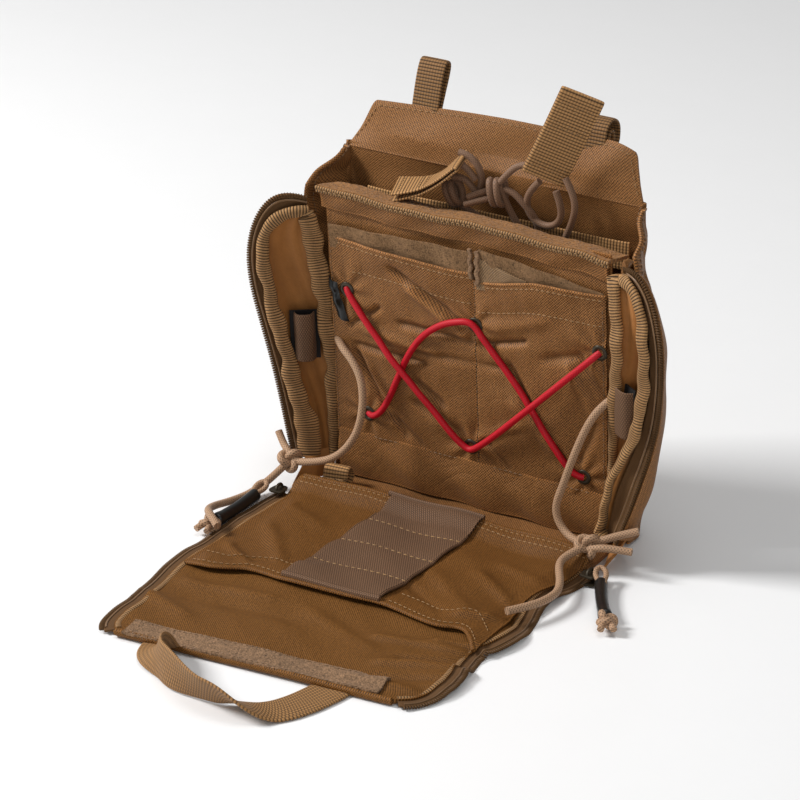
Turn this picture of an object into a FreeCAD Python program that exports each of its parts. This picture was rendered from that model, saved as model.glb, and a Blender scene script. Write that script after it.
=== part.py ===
"""Quick-open nylon medical pouch, standing open, in millimetres.

The pouch stands on its base.  The front flap is unzipped and lies on the ground in front (-Y), the
side walls are splayed outwards, the hexagonal lid stands up behind, and the inner panel between
them carries a red shock cord laced through six eyelets.  Origin: centre of the base, on the ground.
+X is the wearer-side right, -Y is the front, +Z is up.
"""
import math
import os

import FreeCAD
import Part

os.makedirs("parts", exist_ok=True)
Vector = FreeCAD.Vector

# ---------------------------------------------------------------- driving dimensions
BODY_WIDTH = 172.0            # outside width of the pouch body
FABRIC = 3.0                  # padded nylon wall: shell, foam and lining
WEBBING_WIDTH = 25.4          # one-inch webbing
WEBBING = 1.6                 # thickness of one layer of webbing
PARACORD = 4.0                # stay cords
SHOCK_CORD = 3.5              # red lacing and the retaining loops of the pull tabs

BASE_FRONT = -8.0             # the floor runs from here ...
BASE_BACK = 47.0              # ... to here
AXIS_Y = 24.0                 # side-wall hinge line at its foot
AXIS_Z = 8.0
AXIS_TOP_Y = 11.0             # and at its top, because the inner panel leans forward
AXIS_TOP_Z = 160.0
WALL_X = 85.0                 # the hinge lines stand this far left and right
WALL_SPLAY = 57.0             # degrees outwards from the closed position

FLAP_HINGE_Y = -9.0           # flap hinge line, along X
FLAP_HINGE_Z = 4.0
FLAP_END_Y = -184.0
FLAP_HALF_WIDTH = 86.0
FLAP_TAPER_Y = -112.0         # the flap narrows beyond this
FLAP_END_HALF = 74.0
FLAP_BOTTOM = 0.0
FLAP_TOP = 3.6
POCKET_TOP = 6.2              # top of the flat pocket sewn on the flap

LID_CREASE_Y = 46.0           # lid hinge line, along X
LID_CREASE_Z = 178.0
LID_LEAN = 18.0               # degrees backwards from upright
LID_HEIGHT = 29.0
LID_HALF_WIDTH = 87.0
LID_TOP_HALF = 75.0

ZIP_CHAIN_LOW = 2.1           # coil chain of the flap's zips, above the ground
ZIP_CHAIN_HIGH = 4.6
ZIP_TAPE = 5.0                # width of zip tape that shows
ZIP_CHAIN = 3.0               # width of the coil chain

EYELET_OUTER = 4.2            # radii of the eyelets
EYELET_INNER = 2.1
EYELET_HEIGHT = 0.9


# ---------------------------------------------------------------- helpers
def save(name, shape):
    """Write one node and print its volume."""
    shape.exportStep("parts/%s.step" % name)
    print("%-22s %9.0f mm3 %d solid(s) valid=%s" % (name, shape.Volume, len(shape.Solids), shape.isValid()))


def prism(points, direction):
    """Closed solid: a flat polygon pushed along a direction."""
    corners = [Vector(*p) for p in points]
    return Part.Face(Part.makePolygon(corners + corners[:1])).extrude(Vector(*direction))


def block(x0, x1, y0, y1, z0, z1):
    """Axis-aligned box between two corners."""
    return Part.makeBox(x1 - x0, y1 - y0, z1 - z0, Vector(x0, y0, z0))


def side_profile(points_yz, x0, x1):
    """A profile drawn in the YZ plane and pushed from x0 to x1."""
    return prism([(x0, y, z) for y, z in points_yz], (x1 - x0, 0, 0))


def plan_profile(points_xy, z0, z1):
    """An outline drawn on the ground and pushed from z0 to z1."""
    return prism([(x, y, z0) for x, y in points_xy], (0, 0, z1 - z0))


def cord_tube(name, route, diameter):
    """Round cord: straight runs joined by tangent arcs, each as large as its two runs allow."""
    points = [Vector(*p) for p in route]
    edges = []
    radii = []
    start = points[0]
    length = 0.0
    for before, corner, after in zip(points, points[1:], points[2:]):
        run_in = corner - before
        run_out = after - corner
        turn = run_in.getAngle(run_out)
        reach = 0.45 * min(run_in.Length, run_out.Length)
        radius = reach / math.tan(turn / 2)
        radii.append(radius)
        arc_start = corner - run_in * (reach / run_in.Length)
        arc_end = corner + run_out * (reach / run_out.Length)
        bisector = (before - corner).normalize() + (after - corner).normalize()
        bisector.normalize()
        centre = corner + bisector * (radius / math.cos(turn / 2))
        middle = centre - bisector * radius
        edges.append(Part.makeLine(start, arc_start))
        edges.append(Part.Arc(arc_start, middle, arc_end).toShape())
        length += (arc_start - start).Length + radius * turn
        start = arc_end
    edges.append(Part.makeLine(start, points[-1]))
    length += (points[-1] - start).Length
    section = Part.Wire(Part.makeCircle(diameter / 2, points[0], points[1] - points[0]))
    tube = Part.Wire(edges).makePipeShell([section], True, True)
    expected = math.pi * diameter ** 2 / 4 * length
    print("%-22s length %.1f  radii %s  volume ratio %.4f" % (
        name, length, " ".join("%.0f" % r for r in radii), tube.Volume / expected))
    return tube


def cylinder(start, direction, radius, length):
    """Round bar from a point along a direction."""
    return Part.makeCylinder(radius, length, Vector(*start), Vector(*direction))


# ---------------------------------------------------------------- body of the pouch
# The inner panel leans forward along UP; OUT points out of its front face.
UP = Vector(0, AXIS_TOP_Y - AXIS_Y, AXIS_TOP_Z - AXIS_Z).normalize()
OUT = Vector(0, -UP.z, UP.y)
PANEL_HEIGHT = math.hypot(AXIS_TOP_Y - AXIS_Y, AXIS_TOP_Z - AXIS_Z)


def on_panel(x, height, out=0.0):
    """Point on the inner panel: x, distance up the panel from the hinge's foot, distance out of it."""
    return Vector(x, AXIS_Y, AXIS_Z) + UP * height + OUT * out


def panel_piece(outline, out0, out1):
    """Flat piece on the inner panel from an (x, height) outline, between two distances out of it."""
    corners = [on_panel(x, height, out0) for x, height in outline]
    return Part.Face(Part.makePolygon(corners + corners[:1])).extrude(OUT * (out1 - out0))


HALF = BODY_WIDTH / 2
FLOOR_TOP = 3.0
FLOOR_INSET = 2.0             # the floor stops this far short of the flanks
DIVIDER_THICK = 4.0
DIVIDER_HALF = 82.0
DIVIDER_TOP = PANEL_HEIGHT
DIVIDER_LIFT = 0.6            # between the floor and the foot of the divider
POCKET_HALF = 80.0
POCKET_SEAM = 5.0             # the two pockets meet here, along X, one millimetre apart
POCKET_THICK = 2.5
POCKET_FOOT = 20.0            # height of the seam under both pockets
POCKET_TOP_LEFT = 134.0
POCKET_TOP_RIGHT = 131.0
POCKET_RISE_LEFT = 8.0        # the left pocket's top edge climbs this much to its outer corner
BACK_PROFILE = [(46.5, 3.0), (51.0, 20.0), (54.0, 50.0), (54.0, 110.0), (47.0, 150.0), (44.0, 176.5)]
GUSSET_FOOT_Y = 31.0          # front edge of a flank, at the ground and at its top
GUSSET_TOP = [(47.0, 160.0), (18.5, 157.0)]
GUSSET_X = (0.2, 2.7)         # a flank's two faces, outside the body's half width

HINGE_HEM_HALF = 80.0         # rolled hem that the flap swings from
HINGE_HEM_Y = (-7.6, -2.6)
HINGE_HEM_TOP = 9.5
LEDGE_Y = (8.0, 25.0)         # strip of loop tape on top of the divider
LEDGE_RISE = (9.8, 5.8)       # its underside, above the divider's top, at the front and the back
LEDGE_THICK = 2.4

INNER_ROW_HALF = 75.0         # webbing sewn inside the back
INNER_ROW_Y = 42.0
INNER_ROW_Z = (143.0, 158.0)
GRID_HALF = 78.0              # two rows of webbing on the back
GRID_Y = 57.0
GRID_ROWS = (52.0, 84.0)
STRAP_OUTSIDE = 57.0          # outer edges of the two mounting straps
STRAP_Z = (44.0, 118.0)
BLACK_TAB = [(-80, 108), (-76.5, 106), (-68, 86), (-73, 84)]
BLACK_TAB_THICK = 1.2
CORNER_TAB_X = (-80.0, -66.0)
CORNER_TAB_Y = (6.0, 17.0)
CORNER_TAB_THICK = 3.2


def body():
    """Floor, divider, pockets, ledge, back, flanks and the webbing on the back."""
    half_floor = HALF - FLOOR_INSET
    save("floor_panel", block(-half_floor, half_floor, BASE_FRONT, BASE_BACK, 0, FLOOR_TOP))
    save("hinge_hem", block(-HINGE_HEM_HALF, HINGE_HEM_HALF, *HINGE_HEM_Y, FLOOR_TOP, HINGE_HEM_TOP))
    foot = FLOOR_TOP - AXIS_Z + DIVIDER_LIFT
    divider = panel_piece([(-DIVIDER_HALF, foot), (DIVIDER_HALF, foot),
                           (DIVIDER_HALF, DIVIDER_TOP), (-DIVIDER_HALF, DIVIDER_TOP)], -DIVIDER_THICK, 0)
    save("divider_panel", divider)
    left = [(-POCKET_HALF, POCKET_FOOT), (POCKET_SEAM, POCKET_FOOT), (POCKET_SEAM, POCKET_TOP_LEFT),
            (-POCKET_HALF, POCKET_TOP_LEFT + POCKET_RISE_LEFT)]
    save("pocket_left", panel_piece(left, 0, POCKET_THICK))
    right = [(POCKET_SEAM + 1.0, POCKET_FOOT), (POCKET_HALF, POCKET_FOOT), (POCKET_HALF, POCKET_TOP_RIGHT),
             (POCKET_SEAM + 1.0, POCKET_TOP_RIGHT)]
    save("pocket_right", panel_piece(right, 0, POCKET_THICK))
    under = [(y, DIVIDER_TOP + rise) for y, rise in zip(LEDGE_Y, LEDGE_RISE)]
    above = [(y, z + LEDGE_THICK) for y, z in reversed(under)]
    save("loop_ledge", side_profile(under + above, -DIVIDER_HALF, DIVIDER_HALF))
    outer = [(y + FABRIC, z) for y, z in reversed(BACK_PROFILE)]
    save("back_panel", side_profile(BACK_PROFILE + outer, -HALF, HALF))
    behind = [(y + FABRIC, z) for y, z in BACK_PROFILE[:-1]]
    gusset = [(GUSSET_FOOT_Y, FLOOR_TOP)] + behind + GUSSET_TOP
    near, far = GUSSET_X
    for side, sign in (("left", -1), ("right", 1)):
        save("gusset_" + side, side_profile(gusset, sign * (HALF + near), sign * (HALF + far)))
    save("webbing_row_inner", block(-INNER_ROW_HALF, INNER_ROW_HALF, INNER_ROW_Y, INNER_ROW_Y + WEBBING, *INNER_ROW_Z))
    rows = [block(-GRID_HALF, GRID_HALF, GRID_Y, GRID_Y + WEBBING, z, z + WEBBING_WIDTH) for z in GRID_ROWS]
    save("pals_rows", Part.Compound(rows))
    for side, x in (("left", -STRAP_OUTSIDE), ("right", STRAP_OUTSIDE - WEBBING_WIDTH)):
        strap = block(x, x + WEBBING_WIDTH, GRID_Y + WEBBING, GRID_Y + 2 * WEBBING, *STRAP_Z)
        save("mount_strap_" + side, strap)
    save("black_tab", panel_piece(BLACK_TAB, POCKET_THICK, POCKET_THICK + BLACK_TAB_THICK))
    save("corner_tab", block(*CORNER_TAB_X, *CORNER_TAB_Y, FLOOR_TOP, FLOOR_TOP + CORNER_TAB_THICK))


# ---------------------------------------------------------------- lacing
LACE_TOP = [(-70.0, 104.0), (6.0, 101.0), (77.0, 102.0)]
LACE_BOTTOM = [(-60.0, 35.0), (1.6, 31.0), (67.0, 30.0)]
LACE_REST = POCKET_THICK + SHOCK_CORD / 2 + 1.1      # height of the cord's axis off the panel
LACE_CLEAR = 0.8              # between two cords where they cross
LACE_LOW = POCKET_THICK + SHOCK_CORD / 2 + 0.2
LACE_END_LIFT = 0.9           # the cord rises this much to leave an eyelet


def lacing():
    """Six eyelets and the two lengths of shock cord that run between them."""
    rings = []
    for x, height in LACE_TOP + LACE_BOTTOM:
        base = on_panel(x, height, POCKET_THICK)
        ring = Part.makeCylinder(EYELET_OUTER, EYELET_HEIGHT, base, OUT)
        hole = Part.makeCylinder(EYELET_INNER, EYELET_HEIGHT, base, OUT)
        rings.append(ring.cut(hole))
    save("eyelets", Part.Compound(rings))
    over = LACE_REST + SHOCK_CORD + LACE_CLEAR
    near = LACE_REST

    def between(a, b, share, out):
        return tuple(on_panel(a[0] + (b[0] - a[0]) * share, a[1] + (b[1] - a[1]) * share, out))

    left_top, mid_top, right_top = LACE_TOP
    left_low, mid_low, right_low = LACE_BOTTOM
    vee = [between(left_top, mid_low, 0.0, near), between(left_top, mid_low, 0.36, over),
           between(left_top, mid_low, 0.62, over), between(left_top, mid_low, 0.97, near),
           between(mid_low, right_top, 0.03, near), between(mid_low, right_top, 0.20, over),
           between(mid_low, right_top, 0.50, over), between(mid_low, right_top, 1.0, near)]
    save("lacing_over", cord_tube("lacing_over", vee, SHOCK_CORD))
    low = LACE_LOW
    ends = LACE_LOW + LACE_END_LIFT
    arch = [between(left_low, mid_top, 0.0, ends), between(left_low, mid_top, 0.40, low),
            between(left_low, mid_top, 0.97, ends), between(mid_top, right_low, 0.03, ends),
            between(mid_top, right_low, 0.60, low), between(mid_top, right_low, 1.0, ends)]
    save("lacing_under", cord_tube("lacing_under", arch, SHOCK_CORD))


# ---------------------------------------------------------------- stay cords
LEFT_KNOT = (-96.0, 1.0, 14.5)
RIGHT_KNOT = (83.5, -4.5, 14.0)
KNOT_RADIUS = 4.4


def stay_cords():
    """Two stretches of cord a side, either side of the knot that ties them."""
    left_upper = [(-76.0, 10.5, 86.0), (-64.0, 8.5, 79.5), (-56.0, 6.0, 68.0), (-53.5, 3.0, 54.0), (-55.5, 0.5, 39.0),
                  (-64.0, -1.0, 26.0), (-77.0, -1.0, 18.0), (-91.0, 0.5, 14.5)]
    left_lower = [(-99.0, -3.0, 11.0), (-102.0, -13.0, 5.5), (-104.5, -27.0, 3.0), (-107.5, -41.0, 3.5),
                  (-108.0, -54.0, 7.5), (-102.5, -65.5, 13.6), (-94.5, -73.5, 13.8), (-86.0, -80.5, 10.0)]
    right_upper = [(80.0, 10.0, 84.5), (77.0, 7.5, 76.0), (72.0, 6.0, 65.0), (68.0, 4.0, 52.0), (64.5, 2.5, 39.0),
                   (61.0, 2.0, 28.0), (62.2, 1.6, 20.8), (66.8, 0.8, 15.4), (73.0, -1.5, 13.4), (79.0, -4.0, 13.8)]
    right_lower = [(81.2, -9.2, 13.0), (77.6, -15.0, 11.0), (77.2, -21.5, 9.8), (80.5, -28.5, 9.2),
                   (86.5, -37.5, 8.4), (91.0, -48.0, 7.8), (90.0, -60.0, 7.8), (86.5, -71.0, 8.4), (81.5, -81.0, 9.0)]
    for name, route in (("stay_cord_left_upper", left_upper), ("stay_cord_left_lower", left_lower),
                        ("stay_cord_right_upper", right_upper), ("stay_cord_right_lower", right_lower)):
        save(name, cord_tube(name, route, PARACORD))
    for name, centre in (("stay_knot_left", LEFT_KNOT), ("stay_knot_right", RIGHT_KNOT)):
        save(name, Part.makeSphere(KNOT_RADIUS, Vector(*centre)))


# ---------------------------------------------------------------- side walls
WALL_PROFILE = [(18.0, 6.0), (21.0, 25.0), (26.0, 50.0), (31.0, 88.0), (35.5, 122.0), (34.0, 140.0),
                (26.0, 150.5), (13.0, 153.5), (3.0, 148.0)]      # (reach, height) of the zip's edge
REAR_BINDING = (1.8, 8.0)     # reach of the rear binding, which runs along the hinge line
REAR_TOP = 138.0
WALL_FOOT = 6.0
WALL_TOP = 160.0
BINDING_WIDTH = 6.5
BINDING_THICK = 4.0
WALL_ZIP_THICK = 2.0
WALL_BEYOND = 40.0            # how far the trimming shapes reach past the wall
ELASTIC_HEIGHTS = {"left": (52.0, 79.0), "right": (60.0, 86.0)}
ELASTIC_OUTER = [(3.0, -2.0), (4.0, -7.6), (13.5, -7.6), (14.5, -2.0)]      # (reach, outward) of the loop
ELASTIC_INNER = [(12.9, -2.0), (12.0, -6.2), (5.5, -6.2), (4.6, -2.0)]


def wall(side, sign):
    """One splayed side wall: lining panel, two bindings, zip and an elastic loop."""
    splay = math.radians(WALL_SPLAY)
    closed = Vector(0, -UP.z, UP.y)
    forward = closed * math.cos(splay) + Vector(sign, 0, 0) * math.sin(splay)
    outward = Vector(sign, 0, 0) * math.cos(splay) - closed * math.sin(splay)
    foot = Vector(sign * WALL_X, AXIS_Y, AXIS_Z)
    normal = forward.cross(UP)
    to_wall = FreeCAD.Matrix(forward.x, UP.x, normal.x, foot.x,
                             forward.y, UP.y, normal.y, foot.y,
                             forward.z, UP.z, normal.z, foot.z)
    beyond = WALL_BEYOND
    outline = WALL_PROFILE + [(-beyond, WALL_PROFILE[-1][1]), (-beyond, -beyond), (WALL_PROFILE[0][0], -beyond)]
    corners = [Vector(reach, height, 0) for reach, height in outline]
    whole = Part.Face(Part.makePolygon(corners + corners[:1]))
    inside_zip = whole.makeOffset2D(-ZIP_TAPE, 2)
    inside_binding = whole.makeOffset2D(-ZIP_TAPE - BINDING_WIDTH, 2)
    rear_low, rear_high = REAR_BINDING
    window = Part.makePlane(beyond * 2, WALL_TOP - WALL_FOOT, Vector(rear_high, WALL_FOOT, 0))

    def layer(name, face, thick):
        lifted = face.common(window).Faces[0].extrude(Vector(0, 0, thick))
        lifted.translate(Vector(0, 0, -thick / 2))
        save("%s_%s" % (name, side), lifted.transformGeometry(to_wall))

    layer("wall_zip", whole.cut(inside_zip), WALL_ZIP_THICK)
    layer("wall_front_binding", inside_zip.cut(inside_binding), BINDING_THICK)
    layer("wall_panel", inside_binding, FABRIC)
    rear = Part.makeBox(rear_high - rear_low, REAR_TOP - WALL_FOOT, BINDING_THICK,
                        Vector(rear_low, WALL_FOOT, -BINDING_THICK / 2))
    save("wall_rear_binding_" + side, rear.transformGeometry(to_wall))

    def place(reach, height, across):
        return foot + forward * reach + UP * height + outward * across

    loop_low, loop_high = ELASTIC_HEIGHTS[side]
    corners = [place(reach, loop_low, across) for reach, across in ELASTIC_OUTER + ELASTIC_INNER]
    band = Part.Face(Part.makePolygon(corners + corners[:1]))
    save("elastic_loop_" + side, band.extrude(UP * (loop_high - loop_low)))


# ---------------------------------------------------------------- front flap
FLAP_HINGE_GAP = 1.0          # between the hinge line and the flap's cloth
FLAP_POCKET = [(-78, -18), (-78, -103), (78, -103), (78, -18)]
ELASTIC_BAND = [(-31, -18.5), (-32, -100), (22, -100), (23, -18.5)]
HOOK_STRIP = [(-66, -183), (-66, -164), (67, -164), (67, -183)]
TAPE_THICK = 1.6              # elastic band and hook strip
TAPE_Z = (2.8, 4.0)           # zip tape, above the ground
ZIP_START_GAP = 2.0           # the zip starts this far beyond the hinge line ...
ZIP_END_GAP = 8.0             # ... and ends this far before the flap's end


def flap_outline(inset):
    """The flap's outline, moved inwards at its sides."""
    wide = FLAP_HALF_WIDTH - inset
    narrow = FLAP_END_HALF - inset
    start = FLAP_HINGE_Y - FLAP_HINGE_GAP
    return [(-wide, start), (-wide, FLAP_TAPER_Y), (-narrow, FLAP_END_Y), (narrow, FLAP_END_Y),
            (wide, FLAP_TAPER_Y), (wide, start)]


def flap():
    """Flap, its flat pocket, elastic band and hook strip, and the zip down each side."""
    save("flap_panel", plan_profile(flap_outline(0.0), FLAP_BOTTOM, FLAP_TOP))
    save("flap_pocket", plan_profile(FLAP_POCKET, FLAP_TOP, POCKET_TOP))
    save("elastic_band", plan_profile(ELASTIC_BAND, POCKET_TOP, POCKET_TOP + TAPE_THICK))
    save("flap_hook_strip", plan_profile(HOOK_STRIP, FLAP_TOP, FLAP_TOP + TAPE_THICK))
    start = FLAP_HINGE_Y - ZIP_START_GAP
    finish = FLAP_END_Y + ZIP_END_GAP
    for side, sign in (("left", -1), ("right", 1)):
        tape_in = FLAP_HALF_WIDTH
        tape_out = tape_in + ZIP_TAPE
        chain_out = tape_out + ZIP_CHAIN
        lean = (FLAP_HALF_WIDTH - FLAP_END_HALF) * (FLAP_TAPER_Y - finish) / (FLAP_TAPER_Y - FLAP_END_Y)
        tape = [(tape_in, start), (tape_out, start), (tape_out, FLAP_TAPER_Y), (tape_out - lean, finish),
                (tape_in - lean, finish), (tape_in, FLAP_TAPER_Y)]
        chain = [(tape_out, start), (chain_out, start), (chain_out, FLAP_TAPER_Y), (chain_out - lean, finish),
                 (tape_out - lean, finish), (tape_out, FLAP_TAPER_Y)]
        save("flap_tape_" + side, plan_profile([(sign * x, y) for x, y in tape], *TAPE_Z))
        save("flap_chain_" + side, plan_profile([(sign * x, y) for x, y in chain], ZIP_CHAIN_LOW, ZIP_CHAIN_HIGH))


# ---------------------------------------------------------------- zip sliders and their pulls
SLIDER_Y = (-22.0, -13.0)
PULL_CORD = 3.2
PULL_TUBE = 6.4
PULL_CORD_LENGTH = 9.0
PULL_TUBE_LENGTH = 36.0
PULL_KNOT = 5.2
SLIDER_Z = (0.4, 6.4)         # outside of the slider, and the slot that clears the coil
SLIDER_SLOT_Z = (1.7, 5.0)
SLIDER_INSET = 3.0            # its plates reach this far over the tape
SLIDER_SLOT_GAP = 0.4
SLIDER_BACK = 1.5             # thickness of the bar that joins its plates


def slider(side, sign):
    """C-shaped body round the edge of the coil: two plates joined by a bar outside it."""
    inside = FLAP_HALF_WIDTH + ZIP_TAPE - SLIDER_INSET
    outside = FLAP_HALF_WIDTH + ZIP_TAPE + ZIP_CHAIN + SLIDER_SLOT_GAP
    back = outside + SLIDER_BACK
    under, over = SLIDER_Z
    slot_low, slot_high = SLIDER_SLOT_Z
    section = [(inside, under), (back, under), (back, over), (inside, over), (inside, slot_high), (outside, slot_high),
               (outside, slot_low), (inside, slot_low)]
    low, high = SLIDER_Y
    return prism([(sign * x, low, z) for x, z in section], (0, high - low, 0))


def pull(side, start, heading):
    """Cord stub, shrink tube and knot of one zip pull, lying on the ground."""
    direction = Vector(*heading).normalize()
    begin = Vector(*start)
    save("pull_cord_" + side, cylinder(begin, direction, PULL_CORD / 2, PULL_CORD_LENGTH))
    tube_start = begin + direction * PULL_CORD_LENGTH
    save("pull_tube_" + side, cylinder(tube_start, direction, PULL_TUBE / 2, PULL_TUBE_LENGTH))
    knot_start = tube_start + direction * PULL_TUBE_LENGTH
    save("pull_knot_" + side, cylinder(knot_start, direction, PULL_KNOT, 2 * PULL_KNOT))


def zips():
    """Both sliders and their pulls, opened to the hinge."""
    save("slider_left", slider("left", -1))
    save("slider_right", slider("right", 1))
    pull("left", (-100.4, -23.0, 5.4), (0.02, -1.0, 0.0))
    pull("right", (98.0, -17.0, 5.4), (0.53, -0.85, 0.0))


# ---------------------------------------------------------------- carrying handle
HANDLE_HEIGHT = (0.4, 13.0)
HANDLE_THICK = 2.4
HANDLE_ENDS = (-46.0, 60.0)   # where it meets the flap's end, along X
HANDLE_GAP = 0.6


def handle():
    """Loop of webbing standing half on edge in front of the flap's end."""
    thick = HANDLE_THICK
    root_y = FLAP_END_Y - HANDLE_GAP
    start, finish = HANDLE_ENDS
    outer = [(start, root_y), (-42, -206), (-24, -222), (6, -230), (36, -229), (56, -214), (finish, root_y)]
    inner = [(finish - thick, root_y), (56 - thick, -213), (35, -229 + thick), (6, -230 + thick), (-23, -222 + thick),
             (-42 + thick, -205), (start + thick, root_y)]
    low, high = HANDLE_HEIGHT
    save("grab_handle", plan_profile(outer + inner, low, high))


# ---------------------------------------------------------------- lid
LID_GAP = 0.6                 # between the crease and the lid's cloth
LID_SHOULDER = 6.0            # the lid's sides are upright to here, then slant in
LOOP_WIDTH = 17.0
LOOP_OUTER = [(-2.6, 0.0), (-6.0, 19.0), (0.0, 26.0), (6.0, 19.0), (2.6, 0.0)]      # (across, height)
LOOP_INNER = [(1.0, 0.0), (4.4, 18.5), (0.0, 23.6), (-4.4, 18.5), (-1.0, 0.0)]
LOOPS = (("left", -54.0, 0.0, 0.0, 0.2), ("right", 51.0, 62.0, 2.4, 0.2))      # side, x, fold, rise, lift


def lid():
    """Lid panel and the two loops of webbing on its top edge; the right one flops back."""
    lean = math.radians(LID_LEAN)
    rise = Vector(0, math.sin(lean), math.cos(lean))
    rear = Vector(0, math.cos(lean), -math.sin(lean))
    crease = Vector(0, LID_CREASE_Y, LID_CREASE_Z)

    def place(x, height, behind):
        return crease + Vector(x, 0, 0) + rise * height + rear * behind

    outline = [(-LID_HALF_WIDTH, LID_GAP), (LID_HALF_WIDTH, LID_GAP), (LID_HALF_WIDTH, LID_SHOULDER),
               (LID_TOP_HALF, LID_HEIGHT), (-LID_TOP_HALF, LID_HEIGHT), (-LID_HALF_WIDTH, LID_SHOULDER)]
    corners = [place(x, height, -FABRIC / 2) for x, height in outline]
    save("lid_panel", Part.Face(Part.makePolygon(corners + corners[:1])).extrude(rear * FABRIC))
    for side, x, fold, raise_by, stand_off in LOOPS:
        turn = math.radians(fold)
        along = rise * math.cos(turn) + rear * math.sin(turn)
        across = rear * math.cos(turn) - rise * math.sin(turn)
        root = place(x, LID_HEIGHT, LID_GAP if fold else 0.0)
        lift = along * stand_off + rise * raise_by
        corners = [root + lift + along * height + across * behind for behind, height in LOOP_OUTER + LOOP_INNER]
        save("lid_loop_" + side, Part.Face(Part.makePolygon(corners + corners[:1])).extrude(Vector(LOOP_WIDTH, 0, 0)))


# ---------------------------------------------------------------- pull tabs in the rear compartment
def tab_box(centre, along, across, length, width, thick):
    """Flat doubled webbing: a box from its centre and two of its directions."""
    along = Vector(*along).normalize()
    across = Vector(*across)
    across = (across - along * across.dot(along)).normalize()
    normal = along.cross(across)
    corner = Vector(*centre) - along * (length / 2) - across * (width / 2) - normal * (thick / 2)
    face = Part.Face(Part.makePolygon([corner, corner + along * length, corner + along * length + across * width,
                                       corner + across * width, corner]))
    return face.extrude(normal * thick)


TAB_THICK = 2 * WEBBING
RIGHT_TAB = ((41.0, 34.0, 208.0), (0.40, 0.02, 0.91), (0.82, 0.5, -0.36), 50.0, 25.0)      # centre, along, across,
LEFT_TAB = ((-39.0, 29.4, 176.0), (0.82, 0.0, 0.57), (-0.2, 0.85, -0.4), 48.0, 20.0)       # length, width
RIGHT_LOOP = [(29.4, 33.5, 183.4), (23.0, 34.0, 176.6), (21.0, 35.0, 168.0), (25.0, 36.5, 161.0), (33.0, 36.5, 159.0),
              (40.0, 35.5, 163.0), (42.0, 34.5, 171.0), (38.6, 33.5, 180.0)]
LEFT_LOOP = [(-17.0, 33.5, 189.6), (-11.0, 34.0, 189.0), (-5.5, 34.5, 183.0), (-4.5, 35.5, 175.0),
             (-8.0, 36.0, 167.5), (-15.0, 36.0, 163.5)]
RIGHT_BARREL = ((6.0, 33.0, 167.0), (0.1, 0, 1), 5.0, 14.0)      # start, direction, radius, length
LEFT_BARREL = ((-22.0, 35.5, 160.5), (0.7, 0, 0.7), 4.6, 12.0)


def tabs():
    """The two pull tabs, the loop of shock cord that each one holds, and its barrel knot."""
    for side, tab, loop, barrel in (("right", RIGHT_TAB, RIGHT_LOOP, RIGHT_BARREL),
                                    ("left", LEFT_TAB, LEFT_LOOP, LEFT_BARREL)):
        save("pull_tab_" + side, tab_box(*tab, TAB_THICK))
        save("tab_cord_" + side, cord_tube("tab_cord_" + side, loop, SHOCK_CORD))
        save("tab_knot_" + side, cylinder(*barrel))


body()
lacing()
stay_cords()
wall("left", -1)
wall("right", 1)
flap()
zips()
handle()
lid()
tabs()
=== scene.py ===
# %% [markdown]
# # A quick-open nylon medical pouch, standing open
# The pouch is sewn from coated nylon cloth, webbing, grosgrain binding, coil zips and cord.
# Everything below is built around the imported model: its parts give every size and place.
# Lengths in the formulas are millimetres, because a sewer thinks in them, and become metres
# in one place, where a mesh is made.

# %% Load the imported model
import math

import bpy
import numpy as np
from mathutils import Matrix, Vector


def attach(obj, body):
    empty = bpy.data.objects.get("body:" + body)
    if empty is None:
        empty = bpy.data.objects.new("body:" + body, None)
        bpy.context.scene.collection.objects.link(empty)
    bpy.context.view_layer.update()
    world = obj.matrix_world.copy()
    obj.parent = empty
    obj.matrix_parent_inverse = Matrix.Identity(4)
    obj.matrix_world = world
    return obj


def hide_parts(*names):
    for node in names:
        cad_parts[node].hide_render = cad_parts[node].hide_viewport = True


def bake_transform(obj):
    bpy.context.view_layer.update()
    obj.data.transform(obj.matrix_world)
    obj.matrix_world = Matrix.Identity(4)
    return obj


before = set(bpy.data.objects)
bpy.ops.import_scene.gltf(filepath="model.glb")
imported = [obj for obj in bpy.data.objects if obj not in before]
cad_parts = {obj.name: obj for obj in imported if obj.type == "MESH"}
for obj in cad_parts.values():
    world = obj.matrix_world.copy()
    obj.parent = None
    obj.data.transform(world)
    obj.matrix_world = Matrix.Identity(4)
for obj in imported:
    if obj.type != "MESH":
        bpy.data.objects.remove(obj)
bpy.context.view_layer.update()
MM = 0.001

# %% [markdown]
# ## Camera
# A camera is a place, a direction and a lens. It is easiest to think of it as a turntable: it
# looks at a target from an azimuth (how far round), an elevation (how far up) and a distance.
# A long lens, far away, keeps the flap in front from looking larger than it is.

# %% Camera
AZIMUTH = math.radians(31.54)
ELEVATION = math.radians(23.28)
ROLL = math.radians(0.59)
DISTANCE = 1.7803
TARGET = Vector((-0.02961, 0.0, 0.0641))
LENS = 157.9

behind = Vector((math.sin(AZIMUTH) * math.cos(ELEVATION),
                 -math.cos(AZIMUTH) * math.cos(ELEVATION), math.sin(ELEVATION)))
level = Vector((math.cos(AZIMUTH), math.sin(AZIMUTH), 0.0))
above = behind.cross(level)
side_axis = level * math.cos(ROLL) + above * math.sin(ROLL)
up_axis = above * math.cos(ROLL) - level * math.sin(ROLL)
camera_data = bpy.data.cameras.new("camera")
camera_data.lens = LENS
camera_data.sensor_width = 36.0
camera_data.clip_start = 0.05
camera_data.clip_end = 20.0
camera = bpy.data.objects.new("camera", camera_data)
turned = Matrix((side_axis, up_axis, behind)).transposed().to_4x4()
camera.matrix_world = Matrix.Translation(TARGET + behind * DISTANCE) @ turned
bpy.context.scene.collection.objects.link(camera)
bpy.context.scene.camera = camera
print("camera at", [round(x, 3) for x in camera.matrix_world.translation])

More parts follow.
